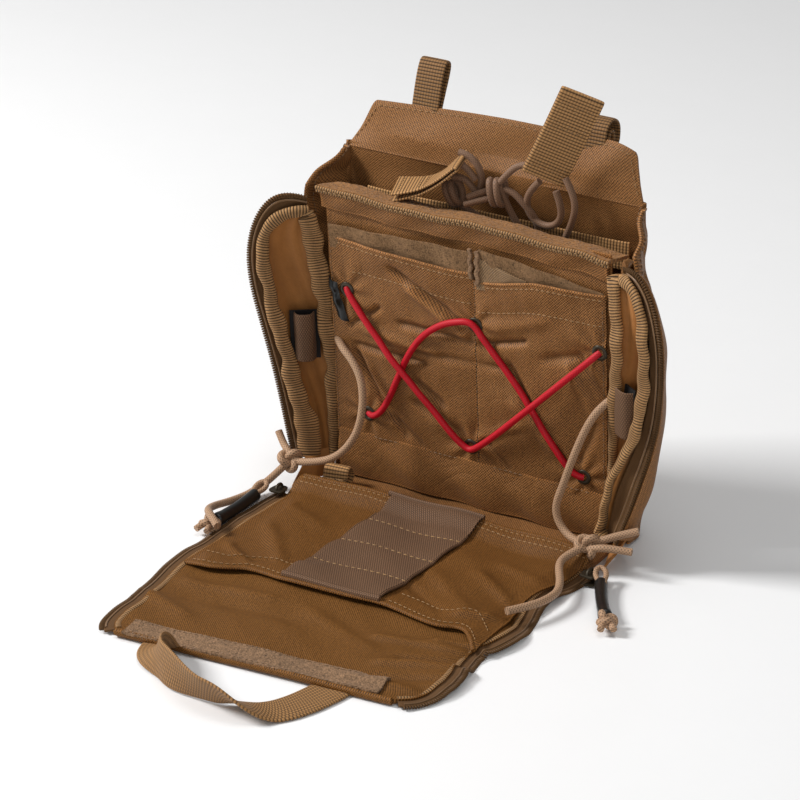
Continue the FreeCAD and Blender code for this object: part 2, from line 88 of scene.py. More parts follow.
# %% [markdown]
# ## Grid surfaces
# Almost every piece of cloth here is a function of two parameters on a grid. NumPy works out all
# the points at once, and the faces join each point to its neighbours. A cloth has two sides, so a
# second grid lies one thickness below the first and a rim closes the gap between them. The UV map
# holds distances along the cloth in millimetres, so a weave keeps its size and follows the folds.

# %% Mesh helpers
SHARP = math.radians(50.0)


def unit(v):
    """Each vector divided by its length."""
    return v / np.maximum(np.linalg.norm(v, axis=-1, keepdims=True), 1e-9)


def quads(rows, cols, close_rows=False, close_cols=False, flip=False):
    """Corner numbers of a grid's faces: (i, j), (i+1, j), (i+1, j+1), (i, j+1)."""
    i, j = np.meshgrid(np.arange(rows if close_rows else rows - 1),
                       np.arange(cols if close_cols else cols - 1), indexing="ij")
    after_i, after_j = (i + 1) % rows, (j + 1) % cols
    corners = [i * cols + j, after_i * cols + j, after_i * cols + after_j, i * cols + after_j]
    faces = np.stack(corners, -1).reshape(-1, 4)
    return faces[:, ::-1] if flip else faces


def spans(points, axis):
    """Distance walked along a grid axis, from the middle row or column's steps."""
    steps = np.linalg.norm(np.diff(points, axis=axis), axis=-1)
    other = 1 - axis
    mean = steps.mean(axis=other)
    return np.concatenate([[0.0], np.cumsum(mean)])


def make_mesh(name, points, faces, uv=None):
    """A mesh object at the origin from points in millimetres, faces and a UV for each point."""
    data = bpy.data.meshes.new(name)
    data.from_pydata((np.asarray(points) * MM).tolist(), [], [f.tolist() for f in faces])
    if uv is not None:
        layer = data.uv_layers.new(name="UVMap")
        corner = np.zeros(len(data.loops), int)
        data.loops.foreach_get("vertex_index", corner)
        layer.data.foreach_set("uv", np.asarray(uv)[corner].astype(np.float32).ravel())
    data.polygons.foreach_set("use_smooth", np.full(len(data.polygons), True))
    data.validate()
    data.update()
    piece = bpy.data.objects.new(name, data)
    bpy.context.scene.collection.objects.link(piece)
    return piece


def normals_of(points):
    """Unit normal of a grid at each point: step along columns crossed with step along rows."""
    return unit(np.cross(np.gradient(points, axis=0), np.gradient(points, axis=1)))


def cloth(name, middle, thick):
    """A closed sheet: the grid 'middle' moved half a thickness each way along its normal, with a
    rim that joins the two edges."""
    rows, cols = middle.shape[:2]
    half = (np.asarray(thick) / 2)[..., None] if np.ndim(thick) else thick / 2
    shift = normals_of(middle) * half
    top, under = middle + shift, middle - shift
    count = rows * cols
    number = np.arange(count).reshape(rows, cols)
    ring = np.concatenate([number[0, :-1], number[:-1, -1], number[-1, :0:-1], number[:0:-1, 0]])
    after = np.roll(ring, -1)
    rim = np.stack([ring, ring + count, after + count, after], -1)
    faces = list(quads(rows, cols)) + list(quads(rows, cols, flip=True) + count) + list(rim[:, ::-1])
    flat = np.stack(np.meshgrid(spans(middle, 0), spans(middle, 1), indexing="ij"),
                    -1)[..., ::-1].reshape(-1, 2)
    piece = make_mesh(name, np.concatenate([top.reshape(-1, 3), under.reshape(-1, 3)]), faces,
                      np.concatenate([flat, flat]))
    mark_sharp(piece)
    return piece


def mark_sharp(piece):
    """Edges that turn by more than SHARP stay sharp in the smooth shading."""
    piece.data.set_sharp_from_angle(angle=SHARP)


def section_along(name, path, across, out, profile):
    """A profile carried along a path. Each profile point (a, b) sits at path + a*across + b*out,
    where across and out are unit vectors at each point of the path. UV: u round the profile,
    v along the path, in millimetres."""
    profile = np.asarray(profile, float)
    path, across, out = (np.asarray(x, float) for x in (path, across, out))
    across = np.broadcast_to(across, path.shape)
    out = np.broadcast_to(out, path.shape)
    if profile.ndim == 2:
        profile = np.broadcast_to(profile, (len(path),) + profile.shape)
    points = (path[:, None] + across[:, None] * profile[..., :1] + out[:, None] * profile[..., 1:])
    rows, cols = points.shape[:2]
    faces = list(quads(rows, cols, close_cols=True)) + [np.arange(cols),
                                                        (np.arange(cols) + (rows - 1) * cols)[::-1]]
    v = np.concatenate([[0.0], np.cumsum(np.linalg.norm(np.diff(path, axis=0), axis=1))])
    u = profile[..., 0]
    uv = np.stack([u, np.broadcast_to(v[:, None], u.shape)], -1).reshape(-1, 2)
    piece = make_mesh(name, points.reshape(-1, 3), faces, uv)
    facing_out(piece)
    mark_sharp(piece)
    return piece


def facing_out(piece):
    """Turns a closed mesh's faces outwards if its signed volume is negative: the sum over its
    triangles of a . (b x c) / 6."""
    data = piece.data
    data.calc_loop_triangles()
    co = np.zeros(len(data.vertices) * 3)
    data.vertices.foreach_get("co", co)
    co = co.reshape(-1, 3)
    tri = np.zeros(len(data.loop_triangles) * 3, int)
    data.loop_triangles.foreach_get("vertices", tri)
    a, b, c = co[tri.reshape(-1, 3)].transpose(1, 0, 2)
    if np.einsum("ij,ij->", a, np.cross(b, c)) < 0:
        data.flip_normals()


def ring(radius, sides=12):
    """A round section."""
    angle = np.linspace(0, 2 * math.pi, sides, endpoint=False)
    return np.stack([np.cos(angle), np.sin(angle)], -1) * radius


def resample(points, count):
    """A polyline's points, evenly spaced along its length."""
    points = np.asarray(points, float)
    length = np.concatenate([[0.0], np.cumsum(np.linalg.norm(np.diff(points, axis=0), axis=1))])
    at = np.linspace(0, length[-1], count)
    return np.stack([np.interp(at, length, points[:, k]) for k in range(points.shape[1])], -1)


def smooth_path(points, count, order=3):
    """A NURBS spline through the pull of these points, sampled evenly: Blender works it out."""
    points = np.asarray(points, float)
    if points.shape[1] == 2:
        points = np.concatenate([points, np.zeros((len(points), 1))], 1)
    curve = bpy.data.curves.new("path", "CURVE")
    curve.dimensions = "3D"
    spline = curve.splines.new("NURBS")
    spline.points.add(len(points) - 1)
    spline.points.foreach_set("co", np.concatenate([points, np.ones((len(points), 1))], 1).ravel())
    spline.order_u = order
    spline.use_endpoint_u = True
    spline.resolution_u = 16
    holder = bpy.data.objects.new("path", curve)
    mesh = bpy.data.meshes.new_from_object(holder)
    co = np.zeros(len(mesh.vertices) * 3)
    mesh.vertices.foreach_get("co", co)
    bpy.data.objects.remove(holder)
    bpy.data.curves.remove(curve)
    bpy.data.meshes.remove(mesh)
    return resample(co.reshape(-1, 3), count)


def frames_along(path, hint=None):
    """Two unit vectors square to a path at each point. The hint is the direction least in line
    with the path, so that the section never flips over."""
    tangent = unit(np.gradient(path, axis=0))
    if hint is None:
        tries = unit(np.random.default_rng(4).normal(size=(60, 3)))
        worst = np.linalg.norm(np.cross(tangent[:, None], tries[None]), axis=-1).min(axis=0)
        hint = tries[worst.argmax()]
    first = unit(np.cross(tangent, np.asarray(hint, float)))
    return first, unit(np.cross(tangent, first))


def round_tube(name, path, radius, sides=12, hint=None):
    """A round tube along a path, with a radius that may change along it, and UV in millimetres:
    u round it and v along it."""
    path = np.asarray(path, float)
    across, out = frames_along(path, hint)
    radius = np.broadcast_to(np.asarray(radius, float), (len(path),))
    angle = np.linspace(0, 2 * math.pi, sides + 1)
    circle = np.stack([np.cos(angle), np.sin(angle)], -1)
    points = (path[:, None] + (across[:, None] * circle[None, :, :1]
              + out[:, None] * circle[None, :, 1:]) * radius[:, None, None])[:, :-1]
    rows, cols = points.shape[:2]
    faces = list(quads(rows, cols, close_cols=True)) + [np.arange(cols), np.arange(cols)[::-1]
                                                        + (rows - 1) * cols]
    v = np.concatenate([[0.0], np.cumsum(np.linalg.norm(np.diff(path, axis=0), axis=1))])
    u = np.abs(np.linspace(-1, 1, cols, endpoint=False)) * math.pi * radius.mean()
    uv = np.stack(np.broadcast_arrays(u[None], v[:, None]), -1).reshape(-1, 2)
    piece = make_mesh(name, points.reshape(-1, 3), faces, uv)
    facing_out(piece)
    mark_sharp(piece)
    return piece


def join(name, pieces):
    """Several meshes as one object, which takes the new name."""
    with bpy.context.temp_override(active_object=pieces[0], object=pieces[0],
                                   selected_objects=pieces, selected_editable_objects=pieces):
        bpy.ops.object.join()
    pieces[0].name = name
    pieces[0].data.name = name
    return pieces[0]


print("helpers ready")

# %% [markdown]
# ## Floor and light
# A plain pale floor and soft lamps. The softbox in front and to the left is the main light, so that
# the right flank falls into shade. A broad one overhead opens the inside of the pouch, and a weak
# one in front and to the right keeps the shaded flank from going black.

# %% Floor and lamps
def floor_mesh(half=3.0):
    """A flat square, half a side from the origin each way."""
    data = bpy.data.meshes.new("floor")
    data.from_pydata([(-half, -half, 0), (half, -half, 0), (half, half, 0), (-half, half, 0)], [],
                     [(0, 1, 2, 3)])
    piece = bpy.data.objects.new("floor", data)
    bpy.context.scene.collection.objects.link(piece)
    return piece


def softbox(name, place, aim, size, power):
    """A square area lamp at a place, turned to its aim."""
    data = bpy.data.lights.new(name, "AREA")
    data.shape = "SQUARE"
    data.size = size
    data.energy = power
    lamp = bpy.data.objects.new(name, data)
    lamp.location = place
    lamp.rotation_euler = (Vector(aim) - Vector(place)).to_track_quat("-Z", "Y").to_euler()
    bpy.context.scene.collection.objects.link(lamp)


floor = floor_mesh()
softbox("key", (-1.5, -0.8, 1.4), (0, 0, 0.06), 0.6, 53.0)
softbox("overhead", (0.1, 0.1, 1.9), (0, 0, 0.05), 1.0, 8.0)
softbox("fill", (1.3, -1.6, 0.9), (0, 0, 0.08), 1.0, 7.0)
world = bpy.data.worlds.new("studio")
bpy.context.scene.world = world
world.use_nodes = True
world.node_tree.nodes["Background"].inputs["Color"].default_value = (1.0, 1.0, 1.0, 1)
world.node_tree.nodes["Background"].inputs["Strength"].default_value = 0.27
bpy.context.scene.view_settings.view_transform = "Standard"

# %% [markdown]
# ## Finishes
# Sewn nylon shows its threads, so each finish is a height pattern that drives both colour and
# bump. The patterns are shader node groups: a group is a small machine with named inputs and
# outputs that several materials share. Here each reads the piece's own UV map, which is in
# millimetres along the cloth, and adds slow changes of tone that read the object's coordinates.

# %% Node helpers
def wire(tree, kind, inputs, **settings):
    """Adds a node, sets its options, and links or fills its inputs. Returns the node."""
    made = tree.nodes.new("ShaderNode" + kind)
    for key, value in settings.items():
        setattr(made, key, value)
    for key, value in inputs.items():
        if isinstance(value, bpy.types.NodeSocket):
            tree.links.new(value, made.inputs[key])
        else:
            made.inputs[key].default_value = value
    return made


def calc(tree, operation, a, b=0.0, c=None):
    """One Math node's output."""
    inputs = {0: a, 1: b}
    if c is not None:
        inputs[2] = c
    return wire(tree, "Math", inputs, operation=operation).outputs[0]


def blend_colour(tree, share, a, b, mode="MIX"):
    """A colour mix of a towards b."""
    made = wire(tree, "Mix", {0: share}, data_type="RGBA", blend_type=mode)
    for index, value in ((6, a), (7, b)):
        if isinstance(value, bpy.types.NodeSocket):
            tree.links.new(value, made.inputs[index])
        else:
            made.inputs[index].default_value = value
    return made.outputs[2]


def new_group(name, inputs):
    """A shader node group with these inputs, (name, kind, value), and the outputs Colour, Roughness
    and Height. Returns the tree, the input sockets by name and the output node."""
    tree = bpy.data.node_groups.new(name, "ShaderNodeTree")
    for label, kind, value in inputs:
        made = tree.interface.new_socket(name=label, in_out="INPUT", socket_type="NodeSocket" + kind)
        made.default_value = value
    for label, kind in (("Colour", "Color"), ("Roughness", "Float"), ("Height", "Float")):
        tree.interface.new_socket(name=label, in_out="OUTPUT", socket_type="NodeSocket" + kind)
    entry = tree.nodes.new("NodeGroupInput")
    leave = tree.nodes.new("NodeGroupOutput")
    return tree, {label: entry.outputs[label] for label, _, _ in inputs}, leave


def toned(tree, colour, share, wear):
    """Slow changes of tone, of about 35 mm and 6 mm, and painted shade in the hollows of folds with
    painted light on their ridges, read from pointiness.
    """
    coords = wire(tree, "TexCoord", {})
    slow = wire(tree, "TexNoise", {"Vector": coords.outputs["Object"], "Scale": 28.0,
                                   "Detail": 3.0}).outputs[0]
    fine = wire(tree, "TexNoise", {"Vector": coords.outputs["Object"], "Scale": 190.0, "Detail": 4.0,
                                   "Roughness": 0.7}).outputs[0]
    tone = calc(tree, "ADD", calc(tree, "MULTIPLY", calc(tree, "SUBTRACT", slow, 0.5), 1.7),
                calc(tree, "MULTIPLY", calc(tree, "SUBTRACT", fine, 0.5), 1.1))
    factor = calc(tree, "MULTIPLY_ADD", tone, share, 1.0)
    # Painted shade and light: pointiness darkens the hollows of folds and lightens their ridges.
    ridge = wire(tree, "MapRange", {"Value": wire(tree, "NewGeometry", {}).outputs["Pointiness"],
                                    "From Min": 0.47, "From Max": 0.53, "To Min": -1.0,
                                    "To Max": 1.0}).outputs[0]
    factor = calc(tree, "MULTIPLY_ADD", ridge, wear, factor)
    grey = wire(tree, "CombineColor", {0: factor, 1: factor, 2: factor}).outputs[0]
    return blend_colour(tree, 1.0, colour, grey, "MULTIPLY")


# %% The shared patterns
UV = ("Coordinates", "Vector", (0.0, 0.0, 0.0))
COLOUR = ("Colour", "Color", (0.2, 0.1, 0.04, 1.0))


def weave_group():
    """Plain weave: warp and weft cross as sin(u) * sin(v), with slubs of noise along the threads."""
    tree, given, leave = new_group("plain weave", [
        UV, COLOUR, ("Pitch", "Float", 0.8), ("Contrast", "Float", 0.3), ("Variation", "Float", 0.12),
        ("Wear", "Float", 0.12), ("Crumple", "Float", 9.0)])
    scaled = wire(tree, "VectorMath", {0: given["Coordinates"]}, operation="SCALE")
    tree.links.new(calc(tree, "DIVIDE", 2 * math.pi, given["Pitch"]), scaled.inputs["Scale"])
    split = wire(tree, "SeparateXYZ", {0: scaled.outputs[0]})
    cross = calc(tree, "MULTIPLY", calc(tree, "SINE", split.outputs[0]),
                 calc(tree, "SINE", split.outputs[1]))
    slub = wire(tree, "TexNoise", {"Vector": given["Coordinates"], "Scale": 0.9,
                                   "Detail": 3.0}).outputs[0]
    height = calc(tree, "MULTIPLY_ADD", cross, 0.45, calc(tree, "MULTIPLY", slub, 0.9))
    dark = calc(tree, "MULTIPLY", calc(tree, "SUBTRACT", 0.55, height), given["Contrast"])
    shade = calc(tree, "SUBTRACT", 1.0, dark)
    base = blend_colour(tree, 1.0, given["Colour"],
                        wire(tree, "CombineColor", {0: shade, 1: shade, 2: shade}).outputs[0], "MULTIPLY")
    tree.links.new(toned(tree, base, given["Variation"], given["Wear"]), leave.inputs["Colour"])
    tree.links.new(calc(tree, "MULTIPLY_ADD", slub, 0.25, 0.42), leave.inputs["Roughness"])
    coords = wire(tree, "TexCoord", {}).outputs["Object"]
    creases = wire(tree, "TexNoise", {"Vector": coords, "Scale": 42.0, "Detail": 2.0,
                                      "Distortion": 0.7}).outputs[0]
    creases = calc(tree, "POWER", calc(tree, "ABSOLUTE", calc(tree, "SUBTRACT", creases, 0.5)), 0.7)
    height = calc(tree, "MULTIPLY_ADD", creases, given["Crumple"], height)
    tree.links.new(height, leave.inputs["Height"])
    return tree


def rib_group():
    """Ribbed tape: rounded ribs across it, |sin(pi v / rib)|, broken into picks by |sin(pi u / pick)|,
    with every second column half a rib along when Stagger is 1."""
    tree, given, leave = new_group("ribbed tape", [UV, COLOUR, ("Rib", "Float", 1.2),
                                                   ("Pick", "Float", 1.1), ("Stagger", "Float", 0.0),
                                                   ("Slant", "Float", 0.0), ("Contrast", "Float", 0.6),
                                                   ("Variation", "Float", 0.12), ("Wear", "Float", 0.1)])
    split = wire(tree, "SeparateXYZ", {0: given["Coordinates"]})
    column = calc(tree, "DIVIDE", split.outputs[0], given["Pick"])
    odd = calc(tree, "MULTIPLY", calc(tree, "FLOORED_MODULO", calc(tree, "FLOOR", column), 2.0), 0.5)
    along = calc(tree, "DIVIDE", calc(tree, "MULTIPLY_ADD", split.outputs[0], given["Slant"],
                                      split.outputs[1]), given["Rib"])
    along = calc(tree, "MULTIPLY_ADD", odd, given["Stagger"], along)
    ribs = calc(tree, "ABSOLUTE", calc(tree, "SINE", calc(tree, "MULTIPLY", along, math.pi)))
    picks = calc(tree, "ABSOLUTE", calc(tree, "SINE", calc(tree, "MULTIPLY", column, math.pi)))
    fuzz = wire(tree, "TexNoise", {"Vector": given["Coordinates"], "Scale": 1.6,
                                   "Detail": 2.0}).outputs[0]
    height = calc(tree, "MULTIPLY", calc(tree, "POWER", ribs, 0.6),
                  calc(tree, "MULTIPLY_ADD", picks, 0.35, 0.65))
    height = calc(tree, "MULTIPLY_ADD", calc(tree, "SUBTRACT", fuzz, 0.5), 0.35, height)
    shade = calc(tree, "SUBTRACT", 1.0, calc(tree, "MULTIPLY", calc(tree, "SUBTRACT", 0.8, height),
                                             given["Contrast"]))
    base = blend_colour(tree, 1.0, given["Colour"],
                        wire(tree, "CombineColor", {0: shade, 1: shade, 2: shade}).outputs[0], "MULTIPLY")
    tree.links.new(toned(tree, base, given["Variation"], given["Wear"]), leave.inputs["Colour"])
    tree.links.new(calc(tree, "MULTIPLY_ADD", fuzz, 0.2, 0.5), leave.inputs["Roughness"])
    tree.links.new(height, leave.inputs["Height"])
    return tree


def pile_group():
    """Loop pile or hook tape: tiny cells of a Voronoi pattern on a cloudy noise."""
    tree, given, leave = new_group("pile", [
        UV, COLOUR, ("Cell", "Float", 1.3), ("Contrast", "Float", 0.7), ("Variation", "Float", 0.2)])
    cells = wire(tree, "TexVoronoi", {"Vector": given["Coordinates"],
                                      "Scale": given["Cell"]}).outputs["Distance"]
    clouds = wire(tree, "TexNoise", {"Vector": given["Coordinates"], "Scale": 0.28, "Detail": 6.0,
                                     "Roughness": 0.75}).outputs[0]
    height = calc(tree, "MULTIPLY_ADD", cells, -0.6, clouds)
    shade = calc(tree, "MULTIPLY_ADD", calc(tree, "SUBTRACT", height, 0.25), given["Contrast"], 1.0)
    base = blend_colour(tree, 1.0, given["Colour"],
                        wire(tree, "CombineColor", {0: shade, 1: shade, 2: shade}).outputs[0], "MULTIPLY")
    tree.links.new(toned(tree, base, given["Variation"], 0.05), leave.inputs["Colour"])
    tree.links.new(calc(tree, "MULTIPLY_ADD", clouds, 0.1, 0.82), leave.inputs["Roughness"])
    tree.links.new(height, leave.inputs["Height"])
    return tree


def braid_group():
    """Braided sheath: two families of strands wind opposite ways round the cord; the height is the
    larger of sin(a + b) and sin(a - b), where a runs along the cord and b round it."""
    tree, given, leave = new_group("braid", [
        UV, COLOUR, ("Strand", "Float", 1.1), ("Contrast", "Float", 0.6), ("Variation", "Float", 0.15)])
    scaled = wire(tree, "VectorMath", {0: given["Coordinates"]}, operation="SCALE")
    tree.links.new(calc(tree, "DIVIDE", 2 * math.pi, given["Strand"]), scaled.inputs["Scale"])
    split = wire(tree, "SeparateXYZ", {0: scaled.outputs[0]})
    one = calc(tree, "SINE", calc(tree, "ADD", split.outputs[1], split.outputs[0]))
    two = calc(tree, "SINE", calc(tree, "SUBTRACT", split.outputs[1], split.outputs[0]))
    height = calc(tree, "MULTIPLY_ADD", calc(tree, "MAXIMUM", one, two), 0.5, 0.5)
    shade = calc(tree, "SUBTRACT", 1.0, calc(tree, "MULTIPLY", calc(tree, "SUBTRACT", 0.8, height),
                                             given["Contrast"]))
    base = blend_colour(tree, 1.0, given["Colour"],
                        wire(tree, "CombineColor", {0: shade, 1: shade, 2: shade}).outputs[0], "MULTIPLY")
    tree.links.new(toned(tree, base, given["Variation"], 0.08), leave.inputs["Colour"])
    tree.links.new(calc(tree, "MULTIPLY_ADD", height, -0.12, 0.6), leave.inputs["Roughness"])
    tree.links.new(height, leave.inputs["Height"])
    return tree


def moulded_group():
    """Shrink tube and coated tape: a faint grain and scuffs that catch the light."""
    tree, given, leave = new_group("moulded", [
        UV, COLOUR, ("Grain", "Float", 900.0), ("Variation", "Float", 0.3)])
    coords = wire(tree, "TexCoord", {}).outputs["Object"]
    grain = wire(tree, "TexNoise", {"Vector": coords, "Scale": given["Grain"], "Detail": 3.0}).outputs[0]
    scuff = wire(tree, "TexNoise", {"Vector": coords, "Scale": 160.0, "Detail": 6.0,
                                    "Roughness": 0.8}).outputs[0]
    tree.links.new(toned(tree, given["Colour"], given["Variation"], 0.1), leave.inputs["Colour"])
    tree.links.new(calc(tree, "MULTIPLY_ADD", scuff, 0.4, 0.15), leave.inputs["Roughness"])
    tree.links.new(grain, leave.inputs["Height"])
    return tree


GROUPS = {"weave": weave_group(), "rib": rib_group(), "pile": pile_group(), "braid": braid_group(),
          "moulded": moulded_group()}
print("patterns", sorted(GROUPS))

# %% [markdown]
# A material places one group, gives it this finish's own values, and hands its three outputs to
# the Principled shader. Nylon has a soft sheen at grazing angles, where loose fibres catch light.

# %% Materials
def finish(name, pattern, colour, depth=0.15, sheen=0.15, specular=0.35, metallic=0.0, coat=0.0,
           **values):
    """A material from a pattern group. depth is the height of its threads in millimetres."""
    made = bpy.data.materials.new(name)
    made.use_nodes = True
    tree = made.node_tree
    shader = tree.nodes["Principled BSDF"]
    place = wire(tree, "TexCoord", {}).outputs["UV"]
    group = tree.nodes.new("ShaderNodeGroup")
    group.node_tree = GROUPS[pattern]
    group.label = pattern
    tree.links.new(place, group.inputs["Coordinates"])
    group.inputs["Colour"].default_value = (*colour, 1.0)
    for key, value in values.items():
        group.inputs[key.capitalize()].default_value = value
    bump = wire(tree, "Bump", {"Height": group.outputs["Height"], "Distance": depth * MM,
                               "Strength": 0.8})
    tree.links.new(group.outputs["Colour"], shader.inputs["Base Color"])
    tree.links.new(group.outputs["Roughness"], shader.inputs["Roughness"])
    tree.links.new(bump.outputs["Normal"], shader.inputs["Normal"])
    shader.inputs["Metallic"].default_value = metallic
    shader.inputs["Sheen Weight"].default_value = sheen
    shader.inputs["Sheen Roughness"].default_value = 0.45
    shader.inputs["Specular IOR Level"].default_value = specular
    shader.inputs["Coat Weight"].default_value = coat
    return made


COYOTE = (0.245, 0.108, 0.033)
shell = finish("shell nylon", "weave", COYOTE, 0.18, 0.03, 0.2, pitch=1.5, contrast=1.5, crumple=3.0)
panel_cloth = finish("panel nylon", "weave", (0.240, 0.104, 0.031), 0.18, 0.03, 0.2, pitch=1.5,
                     contrast=1.7, wear=0.35, crumple=6.0)
flap_cloth = finish("flap nylon", "weave", (0.165, 0.070, 0.017), 0.16, 0.0, 0.12, pitch=1.3,
                    contrast=1.6, crumple=5.0)
pocket_cloth = finish("flap pocket nylon", "weave", (0.155, 0.064, 0.015), 0.16, 0.0, 0.12, pitch=1.3,
                      contrast=1.6, crumple=5.0)
lining = finish("lining", "weave", (0.34, 0.140, 0.036), 0.08, 0.1, 0.2, pitch=0.9, contrast=0.25,
                variation=0.3)
mesh_cloth = finish("mesh tape", "pile", (0.215, 0.120, 0.055), 0.35, 0.05, 0.2, cell=1.6, contrast=1.6)
binding = finish("binding tape", "rib", (0.42, 0.228, 0.092), 0.5, 0.03, 0.2, rib=1.45, pick=30.0,
                 slant=0.12, contrast=1.7)
webbing = finish("webbing", "rib", (0.385, 0.205, 0.080), 0.4, 0.03, 0.2, rib=1.7, pick=1.6, contrast=1.5)
handle_webbing = finish("handle webbing", "rib", (0.29, 0.150, 0.055), 0.35, 0.03, 0.2, rib=1.5, pick=2.1,
                        contrast=1.4, stagger=1.0)
# The lid loops take the webbing's colour at about half its lightness: painted shade for the shadow they
# stand in.
shaded_webbing = finish("lid loop webbing with painted shade", "rib", (0.20, 0.102, 0.037), 0.4, 0.03, 0.2, rib=1.7, pick=1.6,
                      contrast=1.5)
elastic = finish("elastic", "rib", (0.155, 0.082, 0.043), 0.3, 0.03, 0.2, rib=1.2, pick=1.1, contrast=1.4,
                 stagger=1.0)
loop_pile = finish("loop pile", "pile", (0.31, 0.145, 0.047), 0.6, 0.1, 0.1, cell=1.5, contrast=1.6)
hook_tape = finish("hook tape", "pile", (0.235, 0.138, 0.075), 0.5, 0.05, 0.2, cell=1.4, contrast=1.6)
paracord = finish("stay cord", "braid", (0.36, 0.220, 0.130), 0.2, 0.05, 0.2, strand=1.7, contrast=0.9)
dark_cord = finish("tab cord", "braid", (0.175, 0.096, 0.055), 0.15, 0.1, 0.25, strand=1.5, contrast=0.7)
red_cord = finish("red shock cord", "braid", (0.45, 0.002, 0.012), 0.08, 0.0, 0.3, strand=1.2,
                  contrast=0.7,
                  variation=0.1)
zip_tape = finish("zip tape", "rib", (0.125, 0.062, 0.024), 0.15, 0.03, 0.15, rib=0.8, pick=0.8,
                  stagger=1.0, contrast=0.6)
zip_coil = finish("zip coil", "moulded", (0.085, 0.044, 0.018), 0.05, 0.0, 0.1)
thread = finish("sewing thread", "moulded", (0.27, 0.155, 0.066), 0.05, 0.05, 0.2)
thread_dark = finish("dark thread", "moulded", (0.16, 0.085, 0.035), 0.05, 0.2, 0.3)
black_rubber = finish("shrink tube", "moulded", (0.006, 0.006, 0.006), 0.05, 0.0, 0.45, coat=0.15)
# Near-black cloth that paints the deep shadow behind the elastic loops.
shadow_patch_cloth = finish("painted shadow patch", "weave", (0.006, 0.005, 0.005), 0.05, 0.1, 0.3, pitch=0.6)
antique_metal = finish("dark painted brass", "moulded", (0.045, 0.035, 0.022), 0.04, 0.0, 0.5,
                       metallic=0.6)
floor_paint = finish("floor paint", "moulded", (0.87, 0.87, 0.87), 0.02, 0.0, 0.2, variation=0.01)
floor.data.materials.append(floor_paint)
print(len(bpy.data.materials), "materials")


def dress(piece, body, material, stands_for=()):
    """Gives a finished piece its material, its body, and the parts it stands for."""
    if not piece.data.materials:
        piece.data.materials.append(material)
    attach(piece, body)
    if stands_for:
        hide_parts(*stands_for)
    return piece


# %% [markdown]
# ## Stay cords
# Two lengths of braided cord tie the flap to the body, so that it opens to level and no further.
# A cord is one smooth NURBS curve through the pull of a few points, and a round tube follows it.
# The lower stretch of each stays out of the bodies, as the flap's cloth does.

# %% Cords
CORD = 4.0
STAYS = {"stay_cord_left_upper": [(-78, 17, 81.5), (-72.5, 11.5, 80), (-63.5, 8.5, 75), (-56.5, 6, 67),
                                  (-53.5, 3, 54), (-55.5, 0.5, 39), (-64, -1, 26), (-77, -1, 18),
                                  (-91, 0.5, 14.5)],
         "stay_cord_left_lower": [(-99, -3, 11), (-102, -13, 5.5), (-104.5, -27, 3), (-107.5, -41, 3.5),
                                  (-107.5, -54, 6.5), (-104, -65, 9.5), (-97, -73.5, 12.5),
                                  (-88, -79.5, 10)],
         "stay_cord_right_upper": [(86.5, 15, 88.5), (81.5, 10.5, 84), (76.5, 7.5, 76), (72, 6, 65),
                                   (68, 4, 52), (64.5, 2.5, 39), (61, 2, 28), (62.2, 1.6, 20.8),
                                   (66.8, 0.8, 15.4), (73, -1.5, 13.4), (79, -4, 13.8)],
         "stay_cord_right_lower": [(81.2, -9.2, 13), (77.6, -15, 11), (77.2, -21.5, 9.8),
                                   (80.5, -28.5, 9.2), (86.5, -37.5, 8.4), (91, -48, 7.8), (90, -60, 7.8),
                                   (86.5, -71, 8.4), (81.5, -81, 9)]}


def overhand(centre, x_axis, y_axis, size):
    """An overhand knot's centreline, x = sin t + 2 sin 2t, y = cos t - 2 cos 2t,
    z = -1.25 sin 3t, most of the way round, turned so that its flat side lies in the plane of
    the two axes."""
    t = np.linspace(0.35, 2 * math.pi + 0.1, 90)
    a, b = unit(np.asarray(x_axis, float)), np.asarray(y_axis, float)
    b = unit(b - a * (a @ b))
    flat = np.stack([np.sin(t) + 2 * np.sin(2 * t), np.cos(t) - 2 * np.cos(2 * t),
                     -1.25 * np.sin(3 * t)], -1)
    return np.asarray(centre, float) + size * (flat @ np.stack([a, b, np.cross(a, b)]))


def stay_cord(name):
    """One stretch of stay cord: a tube along its smoothed path."""
    path = smooth_path(STAYS[name], 110)
    piece = round_tube("braided_" + name, path, CORD / 2, 14)
    piece.data.materials.append(paracord)
    if name.endswith("upper"):
        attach(piece, "pouch_body")
    else:
        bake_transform(piece)
    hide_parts(name)


def stay_knot(side, strands):
    """A tied knot and its tails: tubes that lie in one another as tight cord does."""
    parts = [round_tube("strand", strand, CORD / 2 * 0.98, 12) for strand in strands]
    knot = join("knot_%s" % side, parts)
    return dress(knot, "pouch_body", paracord, ["stay_knot_" + side])


left_knot = stay_knot("left", [
    overhand((-96.5, 0.0, 14.5), (0.8, 0.5, 0.1), (-0.2, 0.3, 1), 1.75),
    smooth_path([(-91, 0.5, 14.5), (-95, 0.5, 15.5), (-99, 2, 18), (-105, 6, 20), (-109, 8, 25)], 26),
    smooth_path([(-97, -1, 13), (-98.5, -2.5, 11.5), (-99.3, -4, 10.6)], 12)])
right_knot = stay_knot("right", [
    overhand((83.8, -5.0, 14.0), (0.9, 0.3, 0.2), (-0.3, 0.2, 1), 1.8),
    smooth_path([(79, -4, 13.8), (84, -4, 15.5), (90, -2, 17), (97, 2, 20), (106, 6, 23)], 30),
    smooth_path([(84, -6, 12), (90, -7, 15), (97, -5, 15.5), (107, -2, 15)], 30),
    smooth_path([(82, -6, 13), (82, -8, 13.4), (81.2, -9.2, 13)], 12)])
for stay in STAYS:
    stay_cord(stay)

